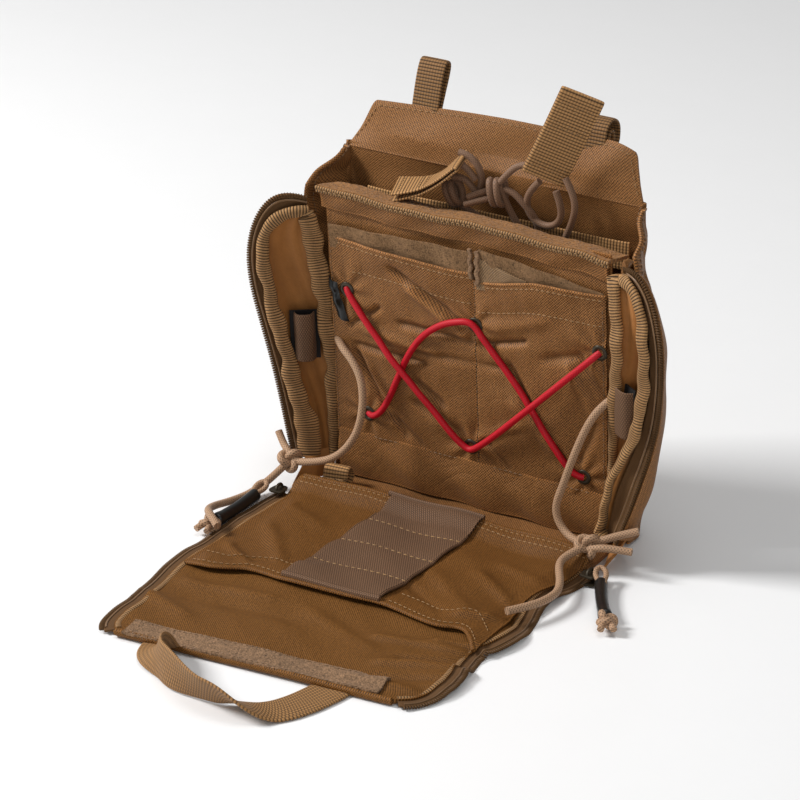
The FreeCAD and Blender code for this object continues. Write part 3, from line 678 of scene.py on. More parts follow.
# %% [markdown]
# ## The inner panel
# The panel leans forward a little. Its two pockets are one layer of cloth each, closed along the
# sides and the foot, and the laced cord pulls them into folds. A fold is a soft ridge or valley
# along a line: exp(-(d / w)^2), where d is the distance to the line, fading towards its ends.

# %% The panel's plane and folds
FOOT = np.array([0.0, 24.0, 8.0])
RISE = unit(np.array([0.0, -13.0, 152.0]))
OUT = np.array([0.0, -RISE[2], RISE[1]])
PANEL_TOP = math.hypot(13.0, 152.0)


def on_panel(x, height, out):
    """Point at x, a height up the panel and a distance out of its front face."""
    x, height, out = np.broadcast_arrays(np.asarray(x, float), height, out)
    return FOOT + RISE * height[..., None] + OUT * out[..., None] + np.array([1.0, 0, 0]) * x[..., None]


def fold(x, y, start, end, width, depth):
    """A ridge (or, with a negative depth, a valley) along the line from start to end."""
    start, end = np.asarray(start, float), np.asarray(end, float)
    line = end - start
    length = np.linalg.norm(line)
    line = line / length
    along = (x - start[0]) * line[0] + (y - start[1]) * line[1]
    beside = -(x - start[0]) * line[1] + (y - start[1]) * line[0]
    over = np.maximum(np.maximum(-along, along - length), 0.0)
    return depth * np.exp(-(beside / width) ** 2 - (over / (width * 1.6)) ** 2)


def wave(x, y, angle, length, phase=0.0):
    """A plane wave at an angle in degrees, with one crest every length."""
    a = math.radians(angle)
    return np.sin(2 * math.pi * (x * math.cos(a) + y * math.sin(a)) / length + phase)


def ease(t):
    """Smooth step from 0 to 1."""
    t = np.clip(t, 0, 1)
    return t * t * (3 - 2 * t)


PANEL_FOLDS = [((-40, 121), (-4, 101), 3.2, -2.2), ((-36, 92), (12, 90), 3.0, -1.8),
               ((-64, 74), (-27, 72), 2.8, -1.5), ((-65, 68), (-50, 44), 3.0, -2.4),
               ((-50, 44), (-39, 28), 3.0, -2.0), ((12, 92), (33, 98), 2.4, -1.8),
               ((-28, 78), (24, 80), 3.0, -1.2), ((-28, 60), (-16, 52), 3.0, -1.4),
               ((26, 82), (35, 66), 3.0, -1.3), ((12, 34), (22, 24), 2.6, -1.5),
               ((66, 96), (82, 74), 2.8, -1.6), ((-68, 85), (-52, 97), 2.6, -1.4),
               ((-48, 40), (-30, 25), 2.8, -1.4), ((-30, 112), (-2, 94), 4.0, 1.4),
               ((-58, 84), (-20, 80), 4.0, 1.2), ((-57, 60), (-44, 36), 4.0, 1.5),
               ((8, 98), (44, 112), 5.0, 1.2), ((60, 90), (74, 66), 4.0, 1.2),
               ((30, 60), (58, 36), 5.0, 1.0), ((48, 92), (74, 100), 3.6, -1.2),
               ((54, 40), (64, 28), 2.6, -1.3), ((-8, 38), (-30, 48), 3.4, -1.1),
               ((4, 36), (30, 50), 3.6, 1.0), ((66, 40), (74, 60), 3.0, -1.3)]
EYELETS = [(-70, 104), (6, 101), (77, 102), (-60, 35), (1.6, 31), (67, 30)]


def hem_height(x):
    """Top edge of the pockets: level with a slight sag on the left, higher towards the right."""
    left = 132.5 - 3.5 * ease((x + 45) / 50) - 1.2 * np.sin(np.pi * np.clip((x + 80) / 85, 0, 1))
    right = 125.5 + 7.5 * ease((x - 6) / 42)
    return np.where(x < 5.5, left, right)


def panel_out(x, height):
    """How far the pocket cloth stands out of the panel: a shallow belly between its seams, the
    folds, puckers round each eyelet, and a hem that gapes."""
    side = np.where(x < 5.5, np.clip((x + 80) / 85, 0, 1), np.clip((x - 5.5) / 74.5, 0, 1))
    rise = np.clip((height - 20) / 110, 0, 1)
    edge = np.minimum(1.0, 5 * np.minimum(side, 1 - side)) * np.minimum(1.0, 6 * rise)
    out = 0.9 + 1.6 * np.sqrt(np.clip(np.sin(np.pi * side), 0, 1)) * np.minimum(1, 4 * rise)
    for start, end, width, depth in PANEL_FOLDS:
        out = out + fold(x, height, start, end, width * 0.8, depth * 1.45) * (0.35 + 0.65 * edge)
    out = out + (0.35 * wave(x, height, 62, 31, 1.0) + 0.25 * wave(x, height, 118, 23, 2.0)
                 + 0.12 * wave(x, height, 15, 11, 0.5)) * edge
    for ex, eh in EYELETS:
        dx, dh = x - ex, height - eh
        near = np.hypot(dx, dh)
        out = out + 0.55 * np.exp(-((near - 10) / 7) ** 2) * np.sin(7 * np.arctan2(dh, dx) + ex)
        flat = np.exp(-(near / 5.2) ** 4)
        out = out * (1 - flat) + 1.6 * flat
    gape = ease((height - hem_height(x) + 22) / 22)
    return out + gape * 2.2 * np.sin(np.pi * side) ** 0.8


print("pocket cloth stands out up to", round(float(panel_out(*np.mgrid[-80:80:99j, 20:131:99j]).max()),
                                             1), "mm")

# %% [markdown]
# The pockets, the divider behind them and the strips of knitted mesh that show above the hems
# are separate layers. Each one is the same plane with its own outline and its own height.

# %% Panel, pockets and mesh
def field(x0, x1, rows, y_low, y_high, cols):
    """Grid of x from x0 to x1, and y between two edges that may be functions of x."""
    x, t = np.meshgrid(np.linspace(x0, x1, rows), np.linspace(0, 1, cols), indexing="ij")
    low = y_low(x) if callable(y_low) else np.full_like(x, y_low)
    high = y_high(x) if callable(y_high) else np.full_like(x, y_high)
    return x, low + (high - low) * t


def pocket(side, x0, x1):
    """A pocket's front: panel cloth from its foot up to its hem, with the belly and the folds."""
    x, h = field(x0, x1, 200, 19.0, hem_height, 235)
    piece = cloth("pocket_cloth_" + side, on_panel(x, h, panel_out(x, h)), 0.9)
    dress(piece, "pouch_body", panel_cloth, ["pocket_" + side])
    return piece


pocket("left", -80.0, 5.0)
pocket("right", 6.0, 80.0)


def divider_out(x, height):
    """The panel behind the pockets: almost flat, with a soft sag under the ledge."""
    sag = 0.7 * wave(x, height, 20, 46) + 0.4 * wave(x, height, 75, 29, 1.3)
    return -1.4 + sag * np.clip((82 - np.abs(x)) / 12, 0, 1) * ease((PANEL_TOP + 6 - height) / 14)


x, h = field(-82, 82, 200, -5.0, lambda x: np.full_like(x, PANEL_TOP + 2.0), 180)
divider = cloth("divider_cloth", on_panel(x, h, divider_out(x, h)), 1.6)
dress(divider, "pouch_body", panel_cloth, ["divider_panel"])


def skirt_out(x, height):
    """The cloth below the pockets falls to the floor of the pouch and bellies a little."""
    return 1.2 + 1.6 * np.sin(np.pi * np.clip((height + 4) / 26, 0, 1)) \
        + 0.7 * wave(x, height, 10, 38, 0.4) + 0.35 * wave(x, height, 60, 17)


x, h = field(-79, 79, 170, -4.0, 22.5, 40)
skirt = cloth("skirt_cloth", on_panel(x, h, skirt_out(x, h)), 0.9)
dress(skirt, "pouch_body", panel_cloth)


def mesh_strip(name, x0, x1, low, high, lift):
    """A strip of knitted mesh that leans out a little more towards its top."""
    x, h = field(x0, x1, 120, low, high, 16)
    piece = cloth(name, on_panel(x, h, lift + 0.5 * wave(x, h, 5, 24) + 0.1 * (h - 128)), 0.8)
    return dress(piece, "pouch_body", mesh_cloth)


mesh_strip("mesh_strip_left", -79, 4, lambda x: hem_height(x) - 6,
           lambda x: 139.5 + 1.6 * ease((x + 70) / 60), 1.6)
mesh_strip("mesh_strip_right", 9, 79, lambda x: hem_height(x) - 5,
           lambda x: 143.5 - 9.5 * np.clip((x - 9) / 70, 0, 1) ** 1.3, 1.2)
x, h = field(8, 36, 40, lambda x: hem_height(x) - 4, lambda x: 139.5 - 0.28 * (x - 8), 14)
net = cloth("net_pocket", on_panel(x, h, 2.6 + 0.2 * wave(x, h, 0, 20)), 0.7)
net_tan = finish("tan net", "weave", (0.24, 0.140, 0.062), 0.3, pitch=1.3, contrast=1.1)
dress(net, "pouch_body", net_tan)


def hem_roll(name, x0, x1, count=120):
    """The folded edge along a pocket's mouth: a thin bead on the hem line."""
    x = np.linspace(x0, x1, count)
    height = hem_height(x)
    path = on_panel(x, height - 0.3, panel_out(x, height) + 0.1)
    piece = section_along(name, path, RISE, OUT, ring(0.85, 8) * np.array([1.0, 0.9]))
    return dress(piece, "pouch_body", panel_cloth)


hem_roll("hem_left", -80, 5)
hem_roll("hem_right", 6, 80)

# %% [markdown]
# ## Stitches
# A lockstitch shows as a row of short raised dashes. One dash is a small six-sided capsule; NumPy
# copies it along a path at the stitch pitch, so a seam of a hundred stitches is one light mesh.

# %% Stitch rows
DASH_RINGS = np.array([[-0.5, 0.02], [-0.34, 0.8], [0.0, 1.0], [0.34, 0.8], [0.5, 0.02]])


def dash_rows(name, paths, normals, body, material=None, pitch=3.0, length=2.2, width=0.62, sides=5):
    """Dashes along several paths: each dash's ring k sits at centre + tangent * length * ring_k, with
    its radius width / 2, half sunk into the cloth."""
    material = material or thread
    points, faces, count = [], [], 0
    ring_count = len(DASH_RINGS)
    angle = np.linspace(0, 2 * math.pi, sides, endpoint=False)
    one = quads(ring_count, sides, close_cols=True)
    for path, normal in zip(paths, normals):
        path = np.asarray(path, float)
        total = np.linalg.norm(np.diff(path, axis=0), axis=1).sum()
        dashes = max(int(total / pitch), 1)
        dense = resample(path, dashes * 2 + 1)
        centre = dense[1::2]
        tangent = unit(dense[2::2] - dense[:-2:2])
        up = resample(np.broadcast_to(normal, path.shape) if np.ndim(normal) == 1 else normal,
                      dashes * 2 + 1)[1::2] if np.ndim(normal) > 1 \
                          else np.broadcast_to(unit(np.asarray(normal, float)), centre.shape)
        up = unit(up - tangent * np.einsum("ij,ij->i", up, tangent)[:, None])
        beside = np.cross(tangent, up)
        spot = (centre[:, None, None] + tangent[:, None,
                                                None] * (DASH_RINGS[:, 0] * length)[None, :, None, None]
                + (beside[:, None, None] * np.cos(angle)[None, None, :, None]
                   + up[:, None, None] * np.sin(angle)[None, None, :, None])
                * (DASH_RINGS[:, 1] * width / 2)[None, :, None, None])
        per = ring_count * sides
        points.append(spot.reshape(-1, 3))
        faces.append((one[None] + (np.arange(dashes) * per)[:, None, None] + count).reshape(-1, 4))
        count += dashes * per
    piece = make_mesh(name, np.concatenate(points), list(np.concatenate(faces)))
    return dress(piece, body, material)


def panel_row(x0, x1, height, above=0.55, count=80):
    """A seam on the pocket cloth, at a height that may be a function of x."""
    x = np.linspace(x0, x1, count)
    level_ = height(x) if callable(height) else np.full_like(x, height)
    return on_panel(x, level_, panel_out(x, level_) + above)


def panel_column(x, low, high, above=0.5, count=50):
    """A path straight up the pocket cloth at x, just above its surface."""
    level_ = np.linspace(low, high, count)
    return on_panel(np.full(count, float(x)), level_, panel_out(np.full(count, float(x)), level_) + above)


seams = [panel_row(-78, 4, lambda x: hem_height(x) - 2.6),
         panel_row(7, 79, lambda x: hem_height(x) - 2.6),
         panel_row(-66, 4, lambda x: hem_height(x) - 16.5),
         panel_row(7, 79, lambda x: hem_height(x) - 16.5)]
dash_rows("hem_stitches", seams, [OUT] * 4, "pouch_body")
dash_rows("panel_seams", [panel_column(5.6, 22, 126), panel_column(-79, 22, 128),
                          panel_column(78.6, 22, 126), panel_row(-79, 79, 21.5)], [OUT] * 4, "pouch_body",
          thread_dark)

# %% [markdown]
# ## Lacing
# The shock cord runs corner to corner through six eyelets. The first length lies over the second
# where they cross, and each dives into its eyelets, so the height of a cord above the cloth is a
# curve of its own: low at both ends, raised over the crossing.

# %% Eyelets and red cord
def eyelet_rings():
    """Thin dark rings: a flattened round section turned about each eyelet's centre."""
    turn = np.linspace(0, 2 * math.pi, 28, endpoint=False)
    parts = []
    for x0, h0 in EYELETS:
        base = float(panel_out(np.array([float(x0)]), np.array([float(h0)]))[0]) + 0.4
        section = ring(1.0, 8) * np.array([1.15, 0.5])
        radius = 3.1 + section[:, 0]
        x = x0 + radius[None] * np.cos(turn)[:, None]
        h = h0 + radius[None] * np.sin(turn)[:, None]
        spot = on_panel(x, h, base + 0.35 + section[:, 1][None])
        parts.append(spot.reshape(-1, 3))
    count = len(turn) * 8
    one = quads(len(turn), 8, close_rows=True, close_cols=True)
    faces = np.concatenate([one + k * count for k in range(len(parts))])
    piece = make_mesh("eyelet_rings", np.concatenate(parts), list(faces))
    facing_out(piece)
    return dress(piece, "pouch_body", antique_metal, ["eyelets"])


eyelet_rings()
LACE = 3.5


def lace_path(stations):
    """A cord on the panel from stations (x, height, lift above the cloth)."""
    path = smooth_path(stations, 150, order=4)
    x, height, lift = path.T
    under = panel_out(x, height)
    under = np.convolve(np.pad(under, 12, mode="edge"), np.ones(25) / 25, mode="valid")
    return on_panel(x, height, under + 0.5 + LACE / 2 + lift)


over = lace_path([(-70.5, 104.5, -2.4), (-69, 103, 0), (-60, 93, 0.6), (-42, 74, 3.4), (-35, 67, 4.2),
                  (-20, 51, 2.4), (-6, 35, 1.4), (-2, 31.5, 0.6), (1.5, 29.5, 0.4), (5, 31.5, 0.8),
                  (14, 39, 1.6), (34, 59, 4.0), (44, 69, 4.0), (66, 91, 1.2), (75, 100, 0.2),
                  (76.8, 102, -2.2)])
under = lace_path([(-60.5, 34.8, -2.2), (-58, 34, -0.1), (-53, 36, 0), (-46, 47, 0.1), (-38, 66, 0),
                   (-28, 86, 0.4), (-14, 98, 0.8), (-2, 102.5, 0.7), (4, 103.4, 0.4), (8, 100, 0.4),
                   (16, 90, 0.6), (34, 68, 0), (48, 50, 0.2), (58, 36, 0.4), (63, 30.5, 0.3),
                   (66.8, 29.6, -2.0)])
for name, path in (("lacing_over", over), ("lacing_under", under)):
    dress(round_tube("red_" + name, path, LACE / 2, 14, hint=OUT), "pouch_body", red_cord,
          [name])
print("lacing", [round(float(np.linalg.norm(np.diff(p, axis=0), axis=1).sum())) for p in (over, under)],
      "mm")

# %% [markdown]
# ## The outer shell
# The back and both flanks are one length of padded cloth, bent round two soft corners. In plan it
# is a U; going up, the U grows wider and its front ends lean back to the lid's crease. Each column
# of the grid is a place round the U, and each row a height, so the bag is one lofted shell.

# %% Back and flanks
BACK = np.array([(3, 49.5), (20, 54), (50, 57), (110, 57), (135, 54), (150, 50.5), (176.5, 47)], float)
CREASE_Z = 178.0


def back_y(z):
    """How far back the shell stands at a height."""
    return np.interp(z, *BACK.T)


def front_y(z):
    """Front end of a flank: almost upright, then back along a slant to the crease."""
    return 31 - 11 * ease((z - 3) / 150) + 25.5 * np.clip((z - 160.5) / 17, 0, 1) ** 0.95


def shell_grid(inset=0.0, rows=150, around=300, top=CREASE_Z + 0.8):
    """The lofted shell: columns go round the U, rows go up, and an inset draws it inwards."""
    share = np.linspace(-1, 1, around)[None]
    side = np.sign(share)
    away = np.abs(share)
    z = 1.6 + (top - 1.6 - 3.6 * ease((away - 0.9) / 0.1)) * np.linspace(0, 1, rows)[:, None]
    corner = 9.0 - 8.4 * ease((z - 132) / 44)
    half = 87.3 - inset + (8.0 * (side < 0) - 5.7) * ease((z - 118) / 56)
    spread = 9.0 * ease((z - 95) / 50) * (1 - ease((z - 157) / 22))
    flank_x = half + spread * ease((away - 0.62) / 0.38)
    back = back_y(z) - 1.5 - inset
    turn = np.clip((away - 0.55) / 0.1, 0, 1) * math.pi / 2
    flat_x = away / 0.55 * (half - corner)
    x = np.where(away < 0.55, flat_x, np.where(away < 0.65, half - corner + corner * np.sin(turn),
                                               flank_x))
    flank = (away - 0.65) / 0.35
    y_side = back - corner + (front_y(z) - back + corner) * np.clip(flank, 0, 1)
    y = np.where(away < 0.55, back, np.where(away < 0.65, back - corner + corner * np.cos(turn), y_side))
    x = side * x
    hold = np.clip((z - 1.6) / 14, 0, 1) * np.clip((CREASE_Z + 4 - z) / 16, 0, 1)
    sag = 1.1 * wave(x, z, 12, 64, 0.8) + 0.8 * wave(x + y, z, 68, 41, 2.2) \
        + 0.45 * wave(x - y, z, 104, 23)
    pucker = 0.7 * wave(y, z, 78, 15) * ease((z - 120) / 30) * (away > 0.65)
    y = y + sag * hold * (away < 0.62)
    x = x + side * (sag + pucker + 1.6 * np.sin(np.pi * np.clip(z / 150, 0, 1))) * hold * (away > 0.6)
    return np.stack([x, y, np.broadcast_to(z, x.shape)], -1)


U_SHELL = shell_grid()
back_shell = cloth("body_shell", U_SHELL, 2.4)
dress(back_shell, "pouch_body", shell, ["back_panel", "gusset_left", "gusset_right"])
print("shell is", [round(float(v), 1) for v in np.ptp(U_SHELL.reshape(-1, 3), axis=0)], "mm across")


def edge_bead(name, path, body, radius=1.3, material=None, flatten=0.75):
    """A narrow folded edge: a slightly flattened round bead along a path."""
    piece = section_along(name, path, *frames_along(path), ring(radius, 8) * np.array([1.0, flatten]))
    return dress(piece, body, material or shell)


for side, column in (("left", 0), ("right", -1)):
    edge_bead("flank_edge_" + side, resample(U_SHELL[:, column], 120), "pouch_body")
flank_rows = [resample(U_SHELL[18:, c], 140) + np.array([s * 1.6, 0, 0]) for c, s in ((8, -1), (-9, 1))]
inner_rows = [row - np.array([s * 3.2, 0, 0]) for row, s in zip(flank_rows, (-1, 1))]
dash_rows("flank_stitches", flank_rows + inner_rows, [(-1, 0, 0), (1, 0, 0), (1, 0, 0), (-1, 0, 0)],
          "pouch_body", thread_dark)

# %% [markdown]
# ## Lid
# The lid is two layers sewn edge to edge and top-stitched, cut as a trapezium. It leans back from
# the crease, where it must bend.

# %% Lid
LEAN = math.radians(18)
LID_UP = np.array([0.0, math.sin(LEAN), math.cos(LEAN)])
LID_BACK = np.array([0.0, math.cos(LEAN), -math.sin(LEAN)])
CREASE = np.array([0.0, 46.0, CREASE_Z])


def on_lid(x, height, behind_):
    """Point at x, a height up the leaning lid and a distance behind its middle layer."""
    x, height, behind_ = np.broadcast_arrays(np.asarray(x, float), height, behind_)
    return CREASE + x[..., None] * np.array([1.0, 0, 0]) + height[..., None] * LID_UP \
        + behind_[..., None] * LID_BACK


def lid_wave(x, height):
    """A soft buckle: the lid bows back at the middle of its top and curls at its corners."""
    return (1.6 * wave(x, height, 8, 130, 0.9) + 0.8 * wave(x, height, 62, 47, 0.2)
            + 0.5 * wave(x, height, 110, 29)) * np.clip((height + 1) / 9, 0, 1) + 0.5 * np.cos(x / 22)


def lid_top(x):
    """The lid's top edge: a low arch, with a rounder fall at its right corner."""
    return 27.3 - 3.6 * np.clip(-x / 77, 0, 1) ** 1.4 - 3.4 * np.clip((x - 58) / 15, 0, 1) ** 1.6


rise_, share = np.meshgrid(np.linspace(0, 1, 60), np.linspace(-1, 1, 260), indexing="ij")
width = np.where(share < 0, 89.8 - 12.6 * rise_ ** 0.92, 81.8 - 8.3 * rise_ ** 0.92)
x = share * (width - 1.2 * np.exp(-(1 - rise_) / 0.04) * (np.abs(share) > 0.9))
height = -1.8 + (lid_top(x) + 1.8) * rise_
edge_share = np.minimum(1, 9 * (1 - np.abs(share))) * np.minimum(1, (1.01 - rise_) * 7)
lid = cloth("lid_cloth", on_lid(x, height, lid_wave(x, height))[:, ::-1],
            (1.7 + 1.3 * np.sqrt(edge_share))[:, ::-1])
lid.data.materials.append(shell)
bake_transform(lid)
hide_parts("lid_panel")


def lid_line(x0, x1, h0, h1, count=90, front=-1.7):
    """A line along the lid's face from (x0, h0) to (x1, h1)."""
    x, h = np.linspace(x0, x1, count), np.linspace(h0, h1, count)
    return on_lid(x, h, lid_wave(x, h) + front)


for face, name in ((-1.7, "front"), (1.7, "back")):
    x = np.linspace(-75, 71, 160)
    h = lid_top(x) - 2.6
    top_row = on_lid(x, h, lid_wave(x, h) + face)
    rows = [top_row, lid_line(-86.5, -75.5, 3, 20, front=face), lid_line(78.6, 71.8, 3, 20, front=face)]
    dash_rows("lid_stitches_" + name, rows, [LID_BACK * np.sign(face)] * 3, "lid", pitch=3.4, width=0.5)
crease_line = np.stack([np.linspace(-88, 80, 120), np.full(120, 45.2), np.full(120, CREASE_Z)], -1)
edge_bead("crease_seam", crease_line, "pouch_body", 0.5, panel_cloth)

# %% [markdown]
# ## Webbing
# Webbing is a flat ribbon carried along a path: the section is a flattened superellipse,
# |x/a|^6 + |y/b|^2 = 1 or so, and the path bends it into loops, rows and straps. The ribs of the
# weave read the distance along the ribbon, so they turn with every bend.

# %% Ribbons
def flat_section(width, thick, sides=20, power=0.28):
    """A flat ribbon's section: a = width/2 * sgn(cos t) |cos t|^power, b = thick/2 * sin t."""
    t = np.linspace(0, 2 * math.pi, sides, endpoint=False)
    return np.stack([width / 2 * np.sign(np.cos(t)) * np.abs(np.cos(t)) ** power,
                     thick / 2 * np.sign(np.sin(t)) * np.abs(np.sin(t)) ** 0.6], -1)


def ribbon(name, path, across, width, thick, body, material=None, stands_for=()):
    """A flat strip whose width lies along 'across', made square to the path at each point."""
    path = np.asarray(path, float)
    tangent = unit(np.gradient(path, axis=0))
    across = np.broadcast_to(np.asarray(across, float), path.shape)
    across = unit(across - tangent * np.einsum("ij,ij->i", across, tangent)[:, None])
    width = np.broadcast_to(np.asarray(width, float), (len(path),))
    profile = np.stack([flat_section(1.0, 1.0)[:, 0] * width[:, None],
                        np.broadcast_to(flat_section(1.0, thick)[:, 1], (len(path), 20))], -1)
    piece = section_along(name, path, across, np.cross(tangent, across), profile)
    return dress(piece, body, material or webbing, stands_for)


def lid_loop(side, x0, fold_deg):
    """A loop of webbing sewn to the lid's top edge. It rises 4 mm, then bends back by fold_deg."""
    far = np.linspace(0, 26, 120)
    turn = math.radians(fold_deg) * np.clip((far - 4) / 13, 0, 1)
    up, back = (np.cumsum(part(turn)) * (far[1] - far[0]) for part in (np.cos, np.sin))
    shape = smooth_path([(-1.6, -7), (-1.9, 0), (-2.6, 8), (-3.2, 18), (-2.2, 23.5), (2.2, 23.5),
                         (3.2, 18), (2.6, 8), (1.9, 0), (1.6, -7)], 90)
    root = on_lid(np.array(x0), np.array(24.6), np.array(0.4))
    legs = np.clip(shape[:, 1], -9, 0)
    rise = np.clip(shape[:, 1], 0, 99)
    bent = np.interp(rise, far, turn)
    path = root + LID_UP * (legs + np.interp(rise, far, up) + 1.2 - np.sin(bent) * shape[:, 0])[:, None] \
        + LID_BACK * (np.interp(rise, far, back) + np.cos(bent) * shape[:, 0])[:, None]
    # The loops are drawn with the webbing that has painted shade in its colour.
    ribbon("lid_webbing_" + side, path, (1, 0, 0), 15.5, 1.5, "lid", shaded_webbing,
           ["lid_loop_" + side])


lid_loop("left", -48.5, 4.0)
lid_loop("right", 47.5, 160.0)


def webbing_row(name, x0, x1, y, z, face, width, pitch, stands_for=()):
    """A row of a webbing grid: sewn down every pitch, and bowed out between by |sin|."""
    x = np.linspace(x0, x1, 220)
    bow = np.abs(np.sin(np.pi * (x - x0) / pitch)) ** 0.5 * 1.6
    path = np.stack([x, y + face * (0.7 + bow), np.full_like(x, z)], -1)
    return ribbon(name, path, (0, 0, 1), width, 1.5, "pouch_body", webbing, stands_for)


webbing_row("inner_row", -76, 76, 43.2, 150.5, -1, 15.0, 50.6, ["webbing_row_inner"])
webbing_row("grid_row_low", -78, 78, 57.2, 64.7, 1, 25.4, 39.0)
upper_row = webbing_row("grid_row_high", -78, 78, 57.2, 96.7, 1, 25.4, 39.0)
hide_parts("pals_rows")
bars = [[(x, 59.0, z - 11.5), (x, 59.0, z + 11.5)] for z in (64.7, 96.7)
        for x in (-39, 0, 39, -76.5, 76.5)]
dash_rows("grid_bartacks", [np.array(b, float) for b in bars], [(0, 1, 0)] * len(bars), "pouch_body",
          thread, pitch=1.5, length=1.3, width=1.5)
for side, x0 in (("left", -44.3), ("right", 44.3)):
    z = np.linspace(118.5, 43.5, 120)
    path = np.stack([np.full_like(z, x0), 61.0 + 1.3 * np.sin((118.5 - z) / 75 * math.pi), z], -1)
    ribbon("mount_webbing_" + side, path, (1, 0, 0), 25.4, 1.5, "pouch_body", webbing,
           ["mount_strap_" + side])
    box = [(x0 - 9, 62.2, 116), (x0 + 9, 62.2, 116), (x0 + 9, 62.9, 102), (x0 - 9, 62.9, 102),
           (x0 - 9, 62.2, 116)]
    cross = [(x0 - 9, 62.9, 102), (x0 + 9, 62.4, 116)]
    dash_rows("mount_box_" + side, [np.array(box, float), np.array(cross, float)], [(0, 1, 0)] * 2,
              "pouch_body")

# %% [markdown]
# ## The ledge
# A stiff strip faced with loop pile runs across the top of the panel, where the lid's hook tape
# would close on it. Its front edge is a double fold that shows as two thin light lines.

# %% Ledge
def ledge_z(x, y):
    """Height of the ledge: it slopes back, falls a little to the right, and curls down at its end."""
    return 165.2 - 2.6 * ease((x + 84) / 168) - 0.2 * (y - 8) + 0.7 * wave(x, y, 8, 88, 0.6) \
        + 0.3 * wave(x, y, 30, 27) - 2.6 * ease((x - 66) / 18)


x, y = np.meshgrid(np.linspace(-85, 83, 240), np.linspace(7.5, 27.5, 40), indexing="ij")
lump = 0.35 * np.sin(x * 1.9 + np.sin(y * 2.3) * 2) * np.sin(y * 2.1 + np.sin(x * 1.3))
ledge = cloth("ledge_pile", np.stack([x, y, ledge_z(x, y) + lump * (y > 9.5)], -1), 1.8)
dress(ledge, "pouch_body", loop_pile, ["loop_ledge"])
x = np.linspace(-85.5, 83.2, 160)
for index, (forward_, drop, thick) in enumerate(((0.0, 0.2, 1.0), (0.8, 2.1, 0.95))):
    path = np.stack([x, 6.9 + forward_ + 0.15 * np.sin(x / 7), ledge_z(x, 8.0) - drop], -1)
    edge_bead("ledge_fold_%d" % index, path, "pouch_body", thick, binding, 0.8)
x, t = np.meshgrid(np.linspace(-84, 82, 200), np.linspace(0, 1, 24), indexing="ij")
front = np.stack([x, 8.2 + 3.0 * t + 0.8 * np.sin(math.pi * t) * wave(x, t, 0, 31),
                  ledge_z(x, 8.0) - 1.8 - 9.5 * t], -1)
dress(cloth("ledge_apron", front[:, ::-1], 1.2), "pouch_body", panel_cloth)
dash_rows("ledge_stitches", [np.stack([x[:, 0], np.full(200, 6.2), ledge_z(x[:, 0], 8.0) - 1.1], -1)],
          [(0, -1, 0.2)], "pouch_body")

# %% [markdown]
# ## Side walls
# Each wall is a strip of lining between two fat ribbed bindings, with the zip beyond the front one.
# Three smooth curves, drawn in space, carry the pieces: the zip's edge, the front binding
# and the rear binding. The lining is ruled between the bindings and sinks in like a trough.

# %% Wall curves
WALLS = {"left": {"zip": [(-91, 7, 158.5), (-97, 2.5, 161), (-106, -3, 158.5), (-113, -6.5, 147),
                          (-117, -7, 130), (-116.5, -5.5, 112), (-112.5, -1, 88), (-109, 3.5, 66),
                          (-106, 7, 44), (-103.5, 11, 20), (-102.5, 13, 10)],
                  "front": [(-91, 8.5, 152), (-97, 3.5, 152.5), (-105, -1.5, 147.5), (-110, -3.5, 137),
                            (-111.5, -3.5, 124), (-109, 0, 106), (-105, 4, 86), (-103, 7, 68),
                            (-99, 11.5, 48), (-96, 15, 32), (-95, 17, 12)],
                  "rear": [(-92, 7.5, 151), (-90, 9.5, 143), (-88, 12.5, 125), (-85.5, 15.5, 102),
                           (-83.5, 18, 80), (-83.5, 20, 58), (-84, 22.5, 36), (-85, 24, 12)],
                  "front_width": (6.0, 6.5, 7.0, 8.0, 8.5, 11.0, 13.0),
                  "rear_width": (9.0, 10.5, 9.5, 8.5, 7.0, 6.0, 5.0)},
         "right": {"zip": [(92, 7, 158.5), (100, 1.5, 161), (108, -1.5, 156), (114, -3, 146),
                           (118, -2.5, 128), (118, -0.5, 112), (116, 3, 97), (113.5, 6, 81),
                           (109.5, 6.5, 64), (105, 5.5, 48), (99.5, 5, 29), (94, 4.5, 14)],
                   "front": [(91, 8.5, 152.5), (98, 2.5, 154), (105, -0.5, 148), (109, -2, 134),
                             (109.5, 0, 112), (107.5, 4.5, 94), (103, 6.5, 76), (97, 5.5, 60),
                             (91, 5.5, 45), (86.5, 7.5, 30), (85, 8, 14)],
                   "rear": [(88, 8, 155), (88.5, 6, 146), (91, 5.5, 128), (90.5, 8, 110), (88, 11.5, 92),
                            (85.5, 15, 74), (85, 18, 56), (85, 21, 36), (85, 24, 12)],
                   "front_width": (6.0, 6.5, 7.5, 7.5, 7.0, 9.0, 12.0),
                   "rear_width": (8.0, 8.0, 7.5, 6.5, 6.0, 5.5, 5.0)}}
WALL_COUNT = 220


def stretch(values, count):
    """A few values, eased out to one for each point of a path."""
    return np.interp(np.linspace(0, 1, count), np.linspace(0, 1, len(values)), values)


